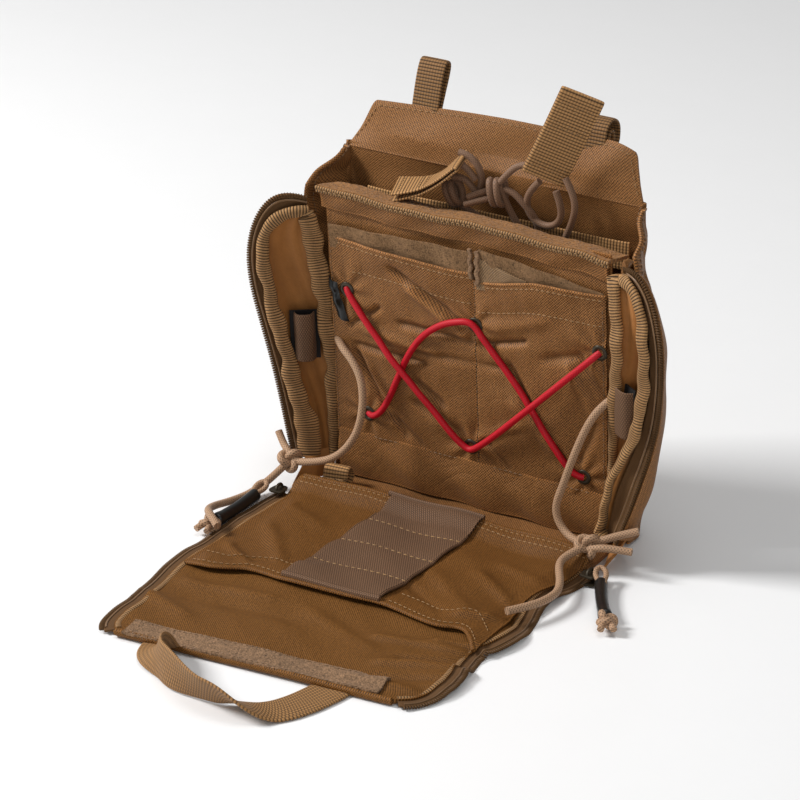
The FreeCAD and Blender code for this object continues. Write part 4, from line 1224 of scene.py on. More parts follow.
def coil_teeth(name, path, outward, body, size=(3.4, 0.9, 1.7), pitch=1.35):
    """A zip's coil: one rounded bar at each pitch, its length along 'outward' from the tape's edge."""
    count = int(np.linalg.norm(np.diff(path, axis=0), axis=1).sum() / pitch)
    path_ = resample(path, count)
    tangent = unit(np.gradient(path_, axis=0))
    outward = resample(np.broadcast_to(outward, path.shape), count)
    outward = unit(outward - tangent * np.einsum("ij,ij->i", outward, tangent)[:, None])
    normal = np.cross(tangent, outward)
    angle = np.linspace(0, 2 * math.pi, 6, endpoint=False)
    stations = np.array([[-0.5, 0.75], [0.3, 1.0], [0.5, 0.45]])
    long, wide, tall = size
    bar = (path_[:, None, None] + outward[:, None, None] * (stations[:, 0] * long)[None, :, None, None]
           + tangent[:, None, None] * (stations[:, 1][None, :, None,
                                                      None] * wide / 2
                                       * np.cos(angle)[None, None, :, None])
           + normal[:, None, None] * (stations[:, 1][None, :, None,
                                                     None] * tall / 2
                                      * np.sin(angle)[None, None, :, None]))
    one = np.concatenate([quads(3, 6, close_cols=True)])
    faces = list((one[None] + (np.arange(count) * 18)[:, None, None]).reshape(-1, 4))
    caps = np.arange(6)[None] + (np.arange(count) * 18)[:, None]
    faces += list(caps) + list(caps[:, ::-1] + 12)
    piece = make_mesh(name, bar.reshape(-1, 3), faces)
    facing_out(piece)
    return dress(piece, body, zip_coil)


def side_wall(side, sign):
    """Lining, outer cloth, two bindings, zip tape, coil and the coil's cord of one wall."""
    body = "side_wall_" + side
    given = WALLS[side]
    zip_edge, front, rear = (smooth_path(given[key], WALL_COUNT) for key in ("zip", "front", "rear"))
    rear_low = resample(rear, WALL_COUNT)
    across = unit(front - rear_low)
    along = unit(np.gradient(front, axis=0))
    normal = unit(np.cross(across, along)) * sign
    normal = np.where((normal[:, 1:2] > 0), -normal, normal)
    t = np.linspace(0, 1, 40)[None, :, None]
    sink = (np.sin(math.pi * t) ** 0.8) * stretch((0.5, 3.5, 6.0, 7.0, 6.0, 4.0, 1.5),
                                                  WALL_COUNT)[:, None, None]
    start, finish_ = rear_low[:, None], front[:, None]
    crumple = 0.5 * np.sin(t * 17 + np.linspace(0, 20, WALL_COUNT)[:, None, None]) * np.sin(math.pi * t)
    trough = start + (finish_ - start) * t - normal[:, None] * (sink + crumple)
    lining_piece = cloth("lining_" + side, trough if sign < 0 else trough[:, ::-1], 1.0)
    dress(lining_piece, body, lining, ["wall_panel_" + side])
    outside = (rear_low + np.array([sign * 2.0, 1.0, 0]))[:, None] * (1 - t) + zip_edge[:, None] * t
    puff = 4.5 * np.sin(math.pi * t) + 0.6 * np.sin(np.linspace(0, 26,
                                                                WALL_COUNT))[:, None,
                                                                             None] * np.sin(math.pi * t)
    outside = outside - normal[:, None] * (puff + sink + 1.6)
    dress(cloth("outer_cloth_" + side, outside if sign < 0 else outside[:, ::-1], 1.2), body, shell)
    for key, path, widths, thick in (("front", front, given["front_width"], 4.2),
                                     ("rear", rear, given["rear_width"], 4.6)):
        width = stretch(widths, WALL_COUNT)
        s = np.linspace(0, 1, WALL_COUNT)[:, None]
        width = width * (1 + 0.10 * np.sin(s[:, 0] * 31 + sign) + 0.07 * np.sin(s[:, 0] * 67))
        sway = 0.8 * np.sin(s * 21 + 2 * sign) + 0.45 * np.sin(s * 47)
        ridge = path + normal * (1.4 + 0.6 * np.sin(s * 25 + 1) + 0.3 * np.sin(s * 58)) \
            + across * sway * np.sin(s * math.pi)
        tangent = unit(np.gradient(ridge, axis=0))
        beside = unit(across - tangent * np.einsum("ij,ij->i", across, tangent)[:, None])
        section = ring(1.0, 16)
        profile = np.stack([section[:, 0] * width[:, None] / 2,
                            np.broadcast_to(section[:, 1] * thick / 2, (WALL_COUNT, 16))], -1)
        piece = section_along("binding_%s_%s" % (key, side), ridge, beside, np.cross(tangent, beside),
                              profile)
        dress(piece, body, binding, ["wall_%s_binding_%s" % (key, side)])
    inner_edge = front + (zip_edge - front) * 0.15 - normal * 1.6
    tape = inner_edge[:, None] + (zip_edge - inner_edge)[:, None] * np.linspace(0, 1, 8)[None, :, None]
    dress(cloth("zip_tape_" + side, tape if sign < 0 else tape[:, ::-1], 0.9), body, zip_tape,
          ["wall_zip_" + side])
    coil_teeth("wall_coil_" + side, zip_edge - unit(zip_edge - front) * 0.1, zip_edge - front, body,
               (3.2, 1.0, 1.9))
    edge_bead("coil_cord_" + side, zip_edge - unit(zip_edge - front) * 2.3 + normal * 0.7, body, 0.55,
              thread_dark)
    return front, rear, normal


wall_parts = {side: side_wall(side, sign) for side, sign in (("left", -1), ("right", 1))}
for side, sign in (("left", -1), ("right", 1)):
    u, t = np.meshgrid(np.linspace(0, 1, 16), np.linspace(0, 1, 12), indexing="ij")
    top_x, top_y = 84.0 + 12.0 * u, 25.0 - 8.0 * u
    low_x, low_y = 84.0 + 8.0 * u, 22.0 - 27.0 * u
    foot = np.stack([sign * (top_x + (low_x - top_x) * t), top_y + (low_y - top_y) * t, 15.0 - 13.4 * t
                     + 0.7 * np.sin(u * 9 + t * 5)], -1)
    dress(cloth("wall_foot_" + side, foot if sign < 0 else foot[:, ::-1], 1.2), "pouch_body", lining)
print("walls", sorted(wall_parts))

# %% Elastic loops
SPLAY = math.radians(57)
for side, sign, low, high, middle, half in (("left", -1, 61.0, 88.0, 11.4, 5.0),
                                            ("right", 1, 63.0, 89.0, 11.0, 7.0)):
    forward_ = np.array([sign * math.sin(SPLAY), -RISE[2] * math.cos(SPLAY), RISE[1] * math.cos(SPLAY)])
    outward_ = np.array([sign * math.cos(SPLAY), RISE[2] * math.sin(SPLAY), -RISE[1] * math.sin(SPLAY)])
    foot_ = np.array([sign * 85.0, 24.0, 8.0]) + RISE * (low + high) / 2
    shape = smooth_path([(-1.0, -0.5), (-0.86, -3.0), (-0.57, -4.6), (0, -5.0), (0.57, -4.6),
                         (0.86, -3.0), (1.0, -0.5)], 50)
    path = foot_ + forward_ * (middle + half * shape[:, :1]) + outward_ * shape[:, 1:2]
    ribbon("elastic_webbing_" + side, path, RISE, high - low, 1.2, "side_wall_" + side, elastic,
           ["elastic_loop_" + side])
    # A near-black patch behind each loop paints the deep shadow on both sides of the elastic.
    x, t = np.meshgrid(np.linspace(middle - 7.6, middle + 7.6, 12), np.linspace(-13.8, 13.8, 12),
                       indexing="ij")
    patch = foot_ + forward_ * x[..., None] + RISE * t[..., None] + outward_ * (0.6 + 0 * x[..., None])
    dress(cloth("elastic_shadow_patch_" + side, patch if sign > 0 else patch[:, ::-1], 0.8),
          "side_wall_" + side, shadow_patch_cloth)

# %% [markdown]
# ## The front flap
# Opened, the flap lies on the ground. Its edges are drawn by its zips, which pull the cloth into
# slow waves, so the flap is a ruled surface between a left and a right edge curve. Where it meets
# the body it rises over the hem of the hinge.

# %% Flap surface
LEFT_EDGE = smooth_path([(-87, -2), (-89.5, -20), (-89.5, -55), (-88.5, -85), (-89, -105), (-84.5, -132),
                         (-79.5, -155), (-79.5, -176), (-76, -187), (-70, -191)], 300)[:, :2]
RIGHT_EDGE = smooth_path([(88, -2), (86, -18), (82.5, -34), (81, -54), (86, -74), (90, -90), (88, -104),
                          (82.5, -116), (86, -134), (89.5, -148), (88.5, -163), (82, -174), (76, -178.5)],
                         300)[:, :2]


def flap_point(u, v):
    """Plan position: u from 0 at the left edge to 1 at the right, v from 0 at the hinge to 1 at the
    end. Each edge is read at the same share of its length."""
    at = np.linspace(0, 1, 300)
    left = np.stack([np.interp(v, at, LEFT_EDGE[:, k]) for k in (0, 1)], -1)
    right = np.stack([np.interp(v, at, RIGHT_EDGE[:, k]) for k in (0, 1)], -1)
    return left + (right - left) * u[..., None]


FLAP_FOLDS = [((-70, -128), (-30, -122), 5, 1.2), ((-60, -140), (-10, -136), 6, -0.9),
              ((0, -124), (40, -140), 6, 1.0), ((40, -128), (78, -120), 4, 1.4),
              ((55, -150), (84, -138), 4, 1.6), ((58, -163), (84, -152), 3.5, -1.2),
              ((60, -140), (86, -128), 3.5, -1.3), ((-80, -150), (-55, -158), 5, 1.0),
              ((50, -170), (80, -166), 4, 1.2), ((66, -118), (82, -112), 3, 1.6)]


def flap_z(x, y):
    """Height of the flap's upper face: nearly flat, with slow swells, folds towards the waves of the
    right-hand zip, and a rise over the hinge hem."""
    z = 3.4 + 0.5 * wave(x, y, 20, 78, 0.4) + 0.35 * wave(x, y, 95, 52, 1.0) + 0.16 * wave(x, y, 60, 19)
    for start, end, width_, depth_ in FLAP_FOLDS:
        z = z + fold(x, y, start, end, width_ * 0.85, depth_ * 1.35)
    z = z + 1.4 * np.exp(-((x - 86) / 9) ** 2) * wave(x, y, 90, 48, 2.0)
    return np.maximum(z, 1.8) + 6.2 * ease((y + 17) / 13)


u, v = np.meshgrid(np.linspace(0.004, 0.996, 210), np.linspace(0, 1, 225), indexing="ij")
plan = flap_point(u, v)
top = np.stack([plan[..., 0], plan[..., 1], flap_z(plan[..., 0], plan[..., 1]) - 0.7], -1)
flap = cloth("flap_cloth", top[:, ::-1], 1.4)
flap.data.materials.append(flap_cloth)
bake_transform(flap)
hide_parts("flap_panel", "hinge_hem")


def base_sheet():
    """The flap's outer face, on the ground: the same outline, one thickness lower."""
    low = np.stack([plan[..., 0] * 0.995, plan[..., 1], np.full_like(plan[..., 0], 0.7)
                    + 3.0 * ease((plan[..., 1] + 17) / 13)], -1)[::3, ::3]
    piece = cloth("flap_outer_cloth", low[:, ::-1], 1.0)
    piece.data.materials.append(shell)
    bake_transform(piece)


base_sheet()


def flap_edge(name, edge, low, high, inset, lift, count=220):
    """A path along one edge of the flap, moved in by an inset and up by a lift."""
    line = resample(edge[int(low * 299):int(high * 299)], count)
    sign = 1 if name == "right" else -1
    tangent = unit(np.gradient(line, axis=0))
    outward = np.stack([-tangent[:, 1], tangent[:, 0]], -1)
    outward = outward * np.sign(outward[:, :1] * sign)
    spot = line + outward * -inset
    z = np.minimum(flap_z(line[:, 0], line[:, 1]), 4.2 + 2.0 * (line[:, 0] > 0)) - 1.2 + lift
    return np.concatenate([spot, z[:, None]], 1), np.concatenate([outward, np.zeros((count, 1))], 1)


def flap_zip(side, edge):
    """Zip tape folded over the flap's edge, with a row of coil on its outer side."""
    path, outward = flap_edge(side, edge, 0.07, 0.985, -1.4, -0.2)
    ribbon("flap_zip_tape_" + side, path, outward, 6.5, 1.1, "front_flap", zip_tape,
           ["flap_tape_" + side])
    path, outward = flap_edge(side, edge, 0.07, 0.985, 2.2, 0.5)
    edge_bead("flap_piping_" + side, path, "front_flap", 1.7, binding, 0.7)
    path, outward = flap_edge(side, edge, 0.07, 0.975, -5.2, -0.1)
    teeth = coil_teeth("flap_coil_" + side, path, outward, "front_flap")
    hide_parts("flap_chain_" + side)
    path, outward = flap_edge(side, edge, 0.07, 0.97, -3.4, 0.5)
    edge_bead("flap_coil_cord_" + side, path, "front_flap", 0.5, thread_dark)
    return path


flap_zip("left", LEFT_EDGE)
flap_zip("right", RIGHT_EDGE)

# %% [markdown]
# The flat pocket is a second layer that lies on the flap and gapes at its mouth. Its hem is turned
# twice and stitched, so it stands up as a soft roll, higher where the mouth is open.

# %% Flap pocket
HEM = smooth_path([(-82, -113), (-74, -115), (-63, -112), (-54, -105), (-42, -105), (-30, -107),
                   (0, -104.5), (22, -102), (42, -105), (58, -108), (68, -103.5), (76, -107), (84, -117)],
                  200)[:, :2]


def pocket_mouth(x):
    """Place of the flap pocket's hem along the flap."""
    return np.interp(x, HEM[:, 0], HEM[:, 1])


def mouth_gape(x):
    """How far the mouth stands open: two soft arches either side of the elastic band."""
    return 0.3 + 1.1 * np.exp(-((x + 57) / 17) ** 2) + 1.2 * np.exp(-((x + 5) / 24) ** 2) \
        + 1.1 * np.exp(-((x - 55) / 16) ** 2)


POCKET_FOLDS = [((-70, -60), (-45, -88), 5, 1.2), ((-60, -98), (-30, -84), 4, -1.0),
                ((-78, -86), (-60, -98), 4, 1.4), ((30, -60), (60, -84), 6, 1.1),
                ((52, -50), (80, -66), 5, 1.3), ((28, -78), (50, -92), 4, -0.9),
                ((64, -92), (82, -84), 4, 1.5), ((56, -34), (82, -40), 5, 0.9),
                ((-80, -30), (-50, -44), 6, 0.9)]


def pocket_z(x, y):
    """Height of the pocket cloth: on the flap at the hinge and the sides, lifting to the mouth."""
    near = ease((pocket_mouth(x) + 30 - y) / 30)
    side = np.clip((84 - np.abs(x - 0.5)) / 9, 0, 1)
    z = flap_z(x, y) * 0.6 + 2.5 + side * (0.6 * wave(x, y, 35, 44, 0.7) + 0.35 * wave(x, y, 110, 27)
                                           + 0.9)
    for start, end, width_, depth_ in POCKET_FOLDS:
        z = z + fold(x, y, start, end, width_ * 0.85, depth_ * 1.35) * side
    return z + near * mouth_gape(x) * np.clip((86 - np.abs(x)) / 7, 0, 1)


x, t = np.meshgrid(np.linspace(-85, 85, 240), np.linspace(0, 1, 195), indexing="ij")
y = -3.5 + (pocket_mouth(x) + 3.5) * t
rise = 3.5 * ease((y + 17) / 13)
side_in = 1 - 0.035 * np.clip(-y / 60, 0, 1) * (x > 0) * np.exp(-((y + 54) / 26) ** 2) * 2
flap_pocket = cloth("flap_pocket_cloth", np.stack([x * side_in, y, pocket_z(x, y) + rise * 0.4],
                                                  -1)[:, ::-1], 0.9)
flap_pocket.data.materials.append(pocket_cloth)
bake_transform(flap_pocket)
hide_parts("flap_pocket")


def mouth_line(x0, x1, behind_mouth, above_, count=140):
    """A path beside the mouth, a distance towards the hinge and a height above the pocket cloth."""
    x = np.linspace(x0, x1, count)
    y = pocket_mouth(x) + behind_mouth
    return np.stack([x, y, pocket_z(x, y) + above_], -1)


edge_bead("pocket_hem_roll", mouth_line(-84, 84, 0.2, 0.0), "front_flap", 1.15, pocket_cloth)
rows = [mouth_line(-82, -34, 15, 0.75), mouth_line(26, 82, 15, 0.75), mouth_line(-82, -34, 3.0, 0.75),
        mouth_line(26, 82, 3.0, 0.75)]
dash_rows("pocket_hem_stitches", rows, [(0, 0, 1)] * 4, "front_flap", thread, width=0.55)
x = np.linspace(-85, 85, 120)
hinge_line = np.stack([x, np.full(120, -3.8), pocket_z(x, np.full(120, -3.8)) + 1.2], -1)
edge_bead("hinge_hem_roll", hinge_line, "pouch_body", 1.5, pocket_cloth, 0.9)
for shift in (2.2, 5.2):
    y = np.full(120, -3.8 - shift)
    dash_rows("hinge_hem_stitches_%d" % shift, [np.stack([x, y, pocket_z(x, y) + 1.9 - 0.1 * shift], -1)],
              [(0, -0.3, 1)], "pouch_body", thread)

# %% Elastic band
BAND_CELLS = (-3.0, -26.0, -52.0, -77.5, -102.5)


def band_z(x, y):
    """The band is sewn down at each cell line and swells by |sin| between them."""
    y_lines = np.array(BAND_CELLS)[::-1]
    share = np.interp(y, y_lines, np.arange(len(y_lines))[::1])
    return pocket_z(x, y) + 1.1 + 1.1 * np.abs(np.sin(np.pi * share)) ** 0.7 + 1.4 * ease((y + 17) / 13)


u, t = np.meshgrid(np.linspace(0, 1, 60), np.linspace(0, 1, 200), indexing="ij")
y = BAND_CELLS[0] + (BAND_CELLS[-1] - BAND_CELLS[0]) * t + (u - 0.5) * 1.5
x = (-30.5 - 2.0 * t) + (53.0 + 0.5 * t) * u
band = cloth("elastic_cells", np.stack([x, y, band_z(x, y)], -1)[:, ::-1], 1.4)
band.data.materials.append(elastic)
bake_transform(band)
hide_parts("elastic_band")
rows = []
for line in BAND_CELLS[1:-1]:
    x = np.linspace(-31.5, 22.5, 60)
    y = np.full(60, line) + (x + 4) * 0.028
    rows.append(np.stack([x, y, band_z(x, y) + 0.75], -1))
dash_rows("band_stitches", rows, [(0, 0, 1)] * len(rows), "front_flap", thread, pitch=3.4, length=2.5,
          width=0.8)
for name, at in (("band_binding_mouth", BAND_CELLS[-1]), ("band_binding_hinge", BAND_CELLS[0])):
    x = np.linspace(-33.0, 22.5, 60)
    y = np.full(60, at) + (x + 4) * 0.028
    edge_bead(name, np.stack([x, y, band_z(x, y) + 0.3], -1), "front_flap" if at < -50 else "pouch_body",
              1.7, elastic, 0.8)
for x_at, name in ((-31.5, "left"), (22.5, "right")):
    y = np.linspace(BAND_CELLS[-1], -19, 90)
    x = x_at - 1.0 * (y + 3) / -100
    edge_bead("band_edge_" + name, np.stack([x, y, band_z(x, y) - 0.2], -1), "front_flap", 0.8, elastic)

# %% Hook strip
u, t = np.meshgrid(np.linspace(0, 1, 260), np.linspace(0, 1, 36), indexing="ij")
x = -68 + 135 * u + 2.0 * t
y = -177.5 + 14.5 * u + (-14.5 - 0.5 * u) * t + 0.4 * np.sin(u * 9)
hooks = 0.25 * np.sin(x * 2.9 + np.sin(y * 2.0)) * np.sin(y * 3.3 + np.sin(x * 1.7))
strip = cloth("hook_strip", np.stack([x, y, flap_z(x, y) + 0.9 + hooks], -1)[:, ::-1], 1.3)
dress(strip, "front_flap", hook_tape, ["flap_hook_strip"])
rows = []
for t0 in (0.07, 0.93):
    u1 = np.linspace(0.01, 0.99, 120)
    x1, y1 = -68 + 135 * u1 + 2.0 * t0, -177.5 + 14.5 * u1 + (-14.5 - 0.5 * u1) * t0
    rows.append(np.stack([x1, y1, flap_z(x1, y1) + 1.7], -1))
dash_rows("hook_strip_stitches", rows, [(0, 0, 1)] * 2, "front_flap", thread_dark)
x = np.linspace(-71, 77, 160)
y = -190.5 + (x + 71) * 0.083
edge_bead("flap_end_roll", np.stack([x, y, np.full_like(x, 2.6) + 0.3 * np.sin(x / 13)], -1),
          "front_flap", 1.9, flap_cloth, 0.9)

# %% [markdown]
# ## Carrying handle
# The handle is one length of webbing sewn flat under the flap's end. It has to turn on edge to
# bend round in the plane of the ground, so its width direction rolls over by half a turn from one
# end to the other, and that roll is the twist you see.

# %% Handle
HANDLE_WIDTH = 20.0
route = smooth_path([(-46, -170), (-46, -184), (-43.5, -195), (-37.5, -205), (-29, -214), (-17, -221),
                     (-2, -225.5), (13, -226), (27, -222), (36.5, -213), (41.5, -202), (44.5, -190),
                     (46.5, -178), (47, -168)], 240)
share = np.linspace(0, 1, 240)
tilt = np.radians(86 * ease((share - 0.08) / 0.24) + 36 * ease((share - 0.34) / 0.2)
                  + 58 * ease((share - 0.52) / 0.2))
tangent = unit(np.gradient(route, axis=0))
level_out = np.cross(tangent, (0, 0, 1.0))
level_out = level_out * np.sign(np.sum(level_out * (route - np.array([4, -190, 0])), axis=1))[:, None]
lean_in = -level_out * np.cos(tilt)[:, None] + np.array([0, 0, 1.0]) * np.sin(tilt)[:, None]
lift = HANDLE_WIDTH / 2 * np.sin(tilt) + 1.0
handle_path = route + np.array([0, 0, 1.0]) * lift[:, None]
tuck = ease((share - 0.0) / 0.1) * ease((1 - share) / 0.1)
handle_path[:, 2] = handle_path[:, 2] * tuck + 1.4 * (1 - tuck)
ribbon("handle_webbing", handle_path, lean_in, HANDLE_WIDTH, 1.7, "grab_handle", handle_webbing,
                ["grab_handle"])
print("handle is", round(float(np.linalg.norm(np.diff(handle_path, axis=0), axis=1).sum())), "mm long")

# %% [markdown]
# ## Pull tabs and their cord
# Each retaining cord is drawn up by a tab of doubled webbing: one length folded over the cord and
# sewn to itself across both ends. The two layers are one ribbon whose path goes up, turns and
# comes back, with a hair of space between, so that the fold looks folded.

# %% Pull tabs
def doubled_tab(name, line, across, width, gap, body, stands_for, rows_at, mouth=0.0):
    """A ribbon folded in two along a curve: out at +gap/2, half a turn round the fold, back at
    -gap/2. Its width direction turns from the first 'across' to the second, and its open end gapes
    by 'mouth' on each side."""
    spine = smooth_path(line, 80)
    share = np.linspace(0, 1, 80)[:, None]
    wide = unit(np.asarray(across[0], float) * (1 - share) + np.asarray(across[1], float) * share)
    tangent = unit(np.gradient(spine, axis=0))
    wide = unit(wide - tangent * np.sum(wide * tangent, axis=1)[:, None])
    face = np.cross(wide, tangent)
    spread = gap / 2 + mouth * (1 - share) ** 2
    turn = np.linspace(0, math.pi, 14)[1:-1, None]
    fold_ = spine[-1] + tangent[-1] * gap / 2 * np.sin(turn) + face[-1] * gap / 2 * np.cos(turn)
    path = np.concatenate([spine + face * spread, fold_, (spine - face * spread)[::-1]])
    width_dirs = np.concatenate([wide, np.repeat(wide[-1:], 12, axis=0), wide[::-1]])
    piece = ribbon(name, path, width_dirs, width, 1.5, body, webbing, stands_for)
    lines, facings = [], []
    for at in rows_at:
        index = int(at * 79)
        for way in (1, -1):
            spot = spine[index] + face[index] * way * (spread[index] + 0.95)
            lines.append(spot + wide[index] * (np.linspace(-0.42, 0.42, 9) * width)[:, None])
            facings.append(face[index] * way)
    dash_rows(name + "_stitches", lines, facings, body, thread, pitch=2.4, length=1.3, width=0.7)
    return piece


doubled_tab("tab_webbing_right", [(31.5, 33.0, 186), (37.5, 33.6, 199), (44, 34.4, 214),
                                  (51, 34.8, 230.5)],
            [(0.82, 0.5, -0.36), (0.84, 0.46, -0.36)], 22.5, 2.3, "tab_right", ["pull_tab_right"],
            (0.12, 0.17, 0.62, 0.67, 0.84, 0.89))
doubled_tab("tab_webbing_left", [(-47.5, 23.5, 167), (-38, 26, 168.8), (-28.5, 29, 172.5),
                                 (-20, 29.4, 180), (-14, 29.4, 186.5)],
            [(0.19, 0.95, 0.25), (-0.45, 0.9, -0.1)], 19.0, 2.0, "tab_left", ["pull_tab_left"],
            (0.08, 0.16, 0.36, 0.44), mouth=0.8)


def barrel_knot(name, centre, x_axis, z_axis, size, wraps, tails, body, stands_for):
    """Wraps of cord side by side round their own standing parts: a flattened helix, x = pitch * t,
    y = a cos t, z = b sin t, turned to two axes. Its tails are tubes of their own."""
    wide, tall, pitch = size
    t = np.linspace(0, 2 * math.pi * wraps, int(40 * wraps))
    a = unit(np.asarray(x_axis, float))
    c = np.asarray(z_axis, float)
    c = unit(c - a * (a @ c))
    b = np.cross(c, a)
    helix = (a * ((t / (2 * math.pi) - wraps / 2) * pitch)[:, None] + b * (wide * np.cos(t))[:, None]
             + c * (tall * np.sin(t))[:, None])
    parts = [round_tube("wrap", np.asarray(centre, float) + helix, LACE / 2, 12)]
    parts += [round_tube("tail", smooth_path(tail, 40), LACE / 2 * 0.96, 12) for tail in tails]
    knot = join(name, parts)
    return dress(knot, body, dark_cord, stands_for)


LOOPS = {"right": [(29.4, 33.5, 183.4), (23, 34, 176.6), (21, 35, 168), (25, 36.5, 161), (33, 36.5, 159),
                   (40, 35.5, 163), (42, 34.5, 171), (38.6, 33.5, 180)],
         "left": [(-17, 33.5, 189.6), (-11, 34, 189), (-5.5, 34.5, 183), (-4.5, 35.5, 175),
                  (-8, 36, 167.5), (-15, 36, 163.5)]}
knot_right = barrel_knot("barrel_knot_right", (6.2, 31.5, 173.5), (0.9, 0.1, 0.1), (0.1, 0, 1),
                         (3.0, 6.2, 3.7), 2.2, [[(8, 31, 179), (13, 32, 186), (20, 33, 191),
                                                 (30, 33, 191)], [(8, 31, 178), (10, 33, 170),
                                                                  (14, 35, 161), (17, 37, 155)],
                                                [(10, 32, 176), (15, 33, 175), (21, 34, 169),
                                                 (26, 36, 163), (26, 39, 156)],
                                                [(44, 33, 188), (50, 33, 179), (49, 34, 167),
                                                 (43, 37, 156)], [(3, 31, 170), (-4, 29, 167.5),
                                                                  (-10, 28, 165)],
                                                [(3, 33, 174), (-3, 31, 172), (-9, 29, 168.5)]],
                         "tab_right", ["tab_knot_right"])
knot_left = barrel_knot("barrel_knot_left", (-19.5, 33.0, 167.5), (0.9, 0.0, 0.35), (-0.3, 0, 1),
                        (3.0, 5.6, 3.6), 2.2, [[(-20, 33, 176), (-15, 32, 178), (-9, 33, 174),
                                                (-6, 34, 168)], [(-17, 33, 163), (-13, 35, 160),
                                                                 (-8, 38, 156)],
                                               [(-16, 31.5, 185), (-11, 32, 183), (-7, 33, 177)]],
                        "pouch_body", ["tab_knot_left"])
for side, body, knot, far_end in (("right", "tab_right", knot_right, "object"),
                                  ("left", "pouch_body", knot_left, "knot")):
    path = smooth_path(LOOPS[side], 100)
    piece = dress(round_tube("shock_cord_" + side, path, LACE / 2, 12), body, dark_cord,
                  ["tab_cord_" + side])

# %% [markdown]
# ## Small parts
# The zip sliders, their corded pulls, a stub of webbing on the floor, the black tab in the side
# seam and the floor cloth. Small parts give the eye its scale, so each is built, not hinted at.

# %% Zip sliders
def slider_piece(side, sign):
    """Two rounded plates, a nose that joins them, and an arched bail for the pull."""
    middle_x, middle_y = sign * 92.0, -17.5
    parts = []
    for z, thick in ((5.5, 1.3), (1.2, 1.1)):
        t = np.linspace(0, 2 * math.pi, 24, endpoint=False)
        outline = np.stack([4.1 * np.sign(np.cos(t)) * np.abs(np.cos(t)) ** 0.55 * (1 - 0.14 * np.sin(t)),
                            4.7 * np.sign(np.sin(t)) * np.abs(np.sin(t)) ** 0.65], -1)
        stack = [(0.86, -thick / 2), (1.0, -thick / 2 + 0.3), (1.0, thick / 2 - 0.3), (0.86, thick / 2)]
        rows = np.stack([np.concatenate([outline * k + np.array([middle_x, middle_y]),
                                         np.full((24, 1), z + dz)], 1) for k, dz in stack])
        faces = list(quads(4, 24, close_cols=True)) + [np.arange(24)[::-1], np.arange(24) + 72]
        parts.append(make_mesh("plate", rows.reshape(-1, 3), faces))
        facing_out(parts[-1])
    parts.append(round_tube("nose", np.array([(middle_x, middle_y + 4.0, 1.4),
                                              (middle_x, middle_y + 4.0, 3.4),
                                              (middle_x, middle_y + 4.0, 5.2)], float), 1.2, 10))
    bail = smooth_path([(middle_x, middle_y + 3.2, 5.6), (middle_x, middle_y + 2.8, 8.2),
                        (middle_x, middle_y - 2.2, 8.2), (middle_x, middle_y - 3.0, 5.6)], 24)
    parts.append(round_tube("bail", bail, 0.75, 8))
    piece = join("slider_body_" + side, parts)
    mark_sharp(piece)
    return dress(piece, "zip_slider_" + side, antique_metal, ["slider_" + side])


slider_piece("left", -1)
slider_piece("right", 1)


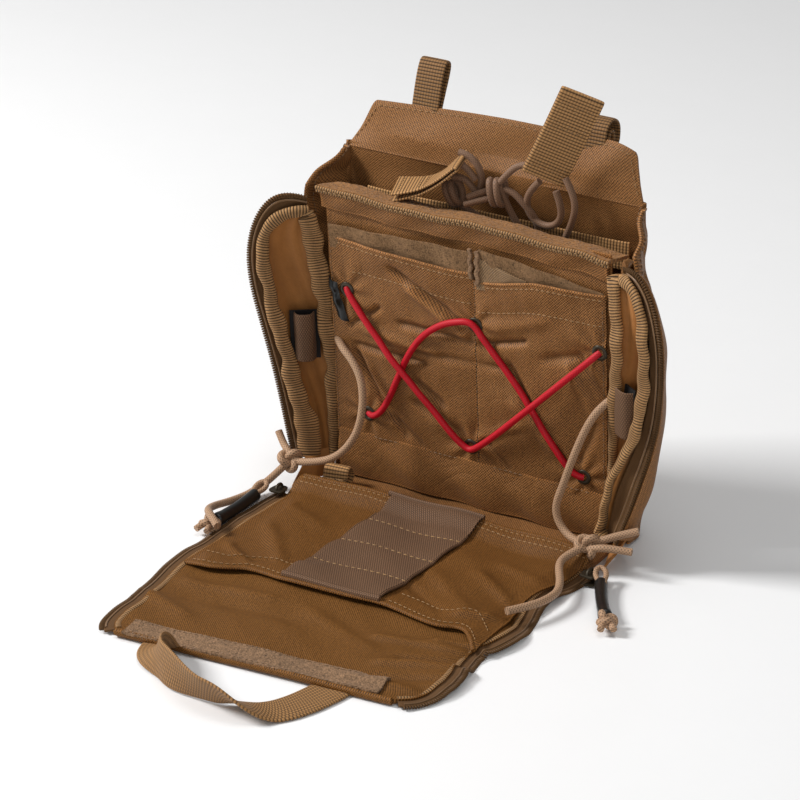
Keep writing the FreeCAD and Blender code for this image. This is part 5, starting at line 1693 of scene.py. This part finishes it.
# %% Zip pulls
def zip_pull(side, start, heading, bend):
    """A loop of cord through the bail, a shrink tube that grips both legs, and a knot with two ends."""
    ahead = unit(np.asarray(heading, float))
    start = np.asarray(start, float) - ahead * 4.5
    beside = unit(np.cross(ahead, (0, 0, 1.0)))
    up = np.array([0, 0, 1.0])
    legs = []
    for way in (1, -1):
        legs.append([start + ahead * d + beside * way * w + up * h for d, w, h in
                     ((-1.0, 0.4, 2.4), (1.0, 2.6, 1.8), (5.0, 2.7, 0.6), (9.0, 1.4, 0), (13.0, 1.3, 0))])
    loop = np.concatenate([np.array(legs[0])[::-1], np.array(legs[1])])
    cords = join("pull_loop_" + side, [round_tube("loop", smooth_path(loop, 70), 1.35, 10)])
    dress(cords, "zip_pull_" + side, paracord, ["pull_cord_" + side])
    d = np.linspace(8.0, 46.0, 60)
    swell = 3.45 + 0.3 * np.exp(-((d - 44) / 3) ** 2) - 0.35 * np.sin((d - 8) / 38 * math.pi) \
        - 0.9 * (np.exp(-((d - 8.0) / 0.5) ** 2) + np.exp(-((d - 46.0) / 0.5) ** 2))
    line = start + ahead * d[:, None] + beside * (bend * np.sin((d - 8) / 38 * math.pi))[:, None] \
        - up * 1.4
    tube = round_tube("shrink_tube_" + side, line, swell, 18)
    dress(tube, "zip_pull_" + side, black_rubber, ["pull_tube_" + side])
    end = start + ahead * 51.0 - up * 0.3
    strands = [overhand(end, ahead, beside * 0.9 + up * 0.4, 1.45)]
    for way in (1, -1):
        strands.append(smooth_path([end + ahead * 1 + beside * way * 1.2,
                                    end + ahead * 4 + beside * way * 2.2, end + ahead * 8.0
                                    + beside * way * 3.2 - up * 1.2], 16))
    knot = join("pull_knot_tied_" + side, [round_tube("strand", s, 1.75, 10) for s in strands])
    dress(knot, "zip_pull_" + side, paracord, ["pull_knot_" + side])


zip_pull("left", (-100.4, -23.0, 5.4), (0.02, -1.0, 0.0), -0.8)
zip_pull("right", (98.0, -17.0, 5.4), (0.53, -0.85, 0.0), 0.8)

# %% Floor cloth, webbing stub and black tab
x, y = np.meshgrid(np.linspace(-85, 85, 160), np.linspace(-7, 48, 60), indexing="ij")
base = np.stack([x, y, 1.6 + 0.5 * wave(x, y, 25, 46) * np.minimum(1, (85 - np.abs(x)) / 12)
                 + 0.3 * wave(x, y, 80, 23)], -1)
dress(cloth("floor_cloth", base, 2.0), "pouch_body", panel_cloth, ["floor_panel"])
stub = smooth_path([(8, 3.6), (11, 4.6), (13.2, 8.0), (11.5, 12.5), (7.5, 14.5), (4.5, 12.0), (4.0, 8.5)],
                   60)
path = np.stack([np.full(60, -73.0) + 2.0 * np.linspace(0, 1, 60), stub[:, 0], stub[:, 1]], -1)
ribbon("webbing_stub", path, (1, 0.12, 0), 14.0, 1.5, "pouch_body", webbing, ["corner_tab"])
u, t = np.meshgrid(np.linspace(0, 1, 16), np.linspace(0, 1, 40), indexing="ij")
x = -80.5 + 5.0 * u + 4.5 * t + 1.5 * u * t
h = 109.0 - 21.0 * t - 2.0 * u
tab = on_panel(x, h, panel_out(x, h) + 1.4 + 1.5 * np.sin(np.pi * u) + 0.6 * np.sin(t * 5))
glossy = finish("black coated tape", "moulded", (0.005, 0.006, 0.006), 0.05, 0.0, 0.35, coat=0.1)
dress(cloth("black_tab_cloth", tab[:, ::-1], 0.8), "pouch_body", glossy, ["black_tab"])

# %% Slot beside the right pocket
for index, (x_at, low, high, wide) in enumerate(((4.6, 127.0, 143.0, 2.0), (8.6, 124.0, 142.5, 2.6))):
    h = np.linspace(low, high, 50)
    path = on_panel(np.full(50, x_at) + 0.4 * np.sin(h), h, np.full(50, 3.0))
    ribbon("slot_pile_%d" % index, path, (1, 0, 0), wide, 1.8, "pouch_body", hook_tape)
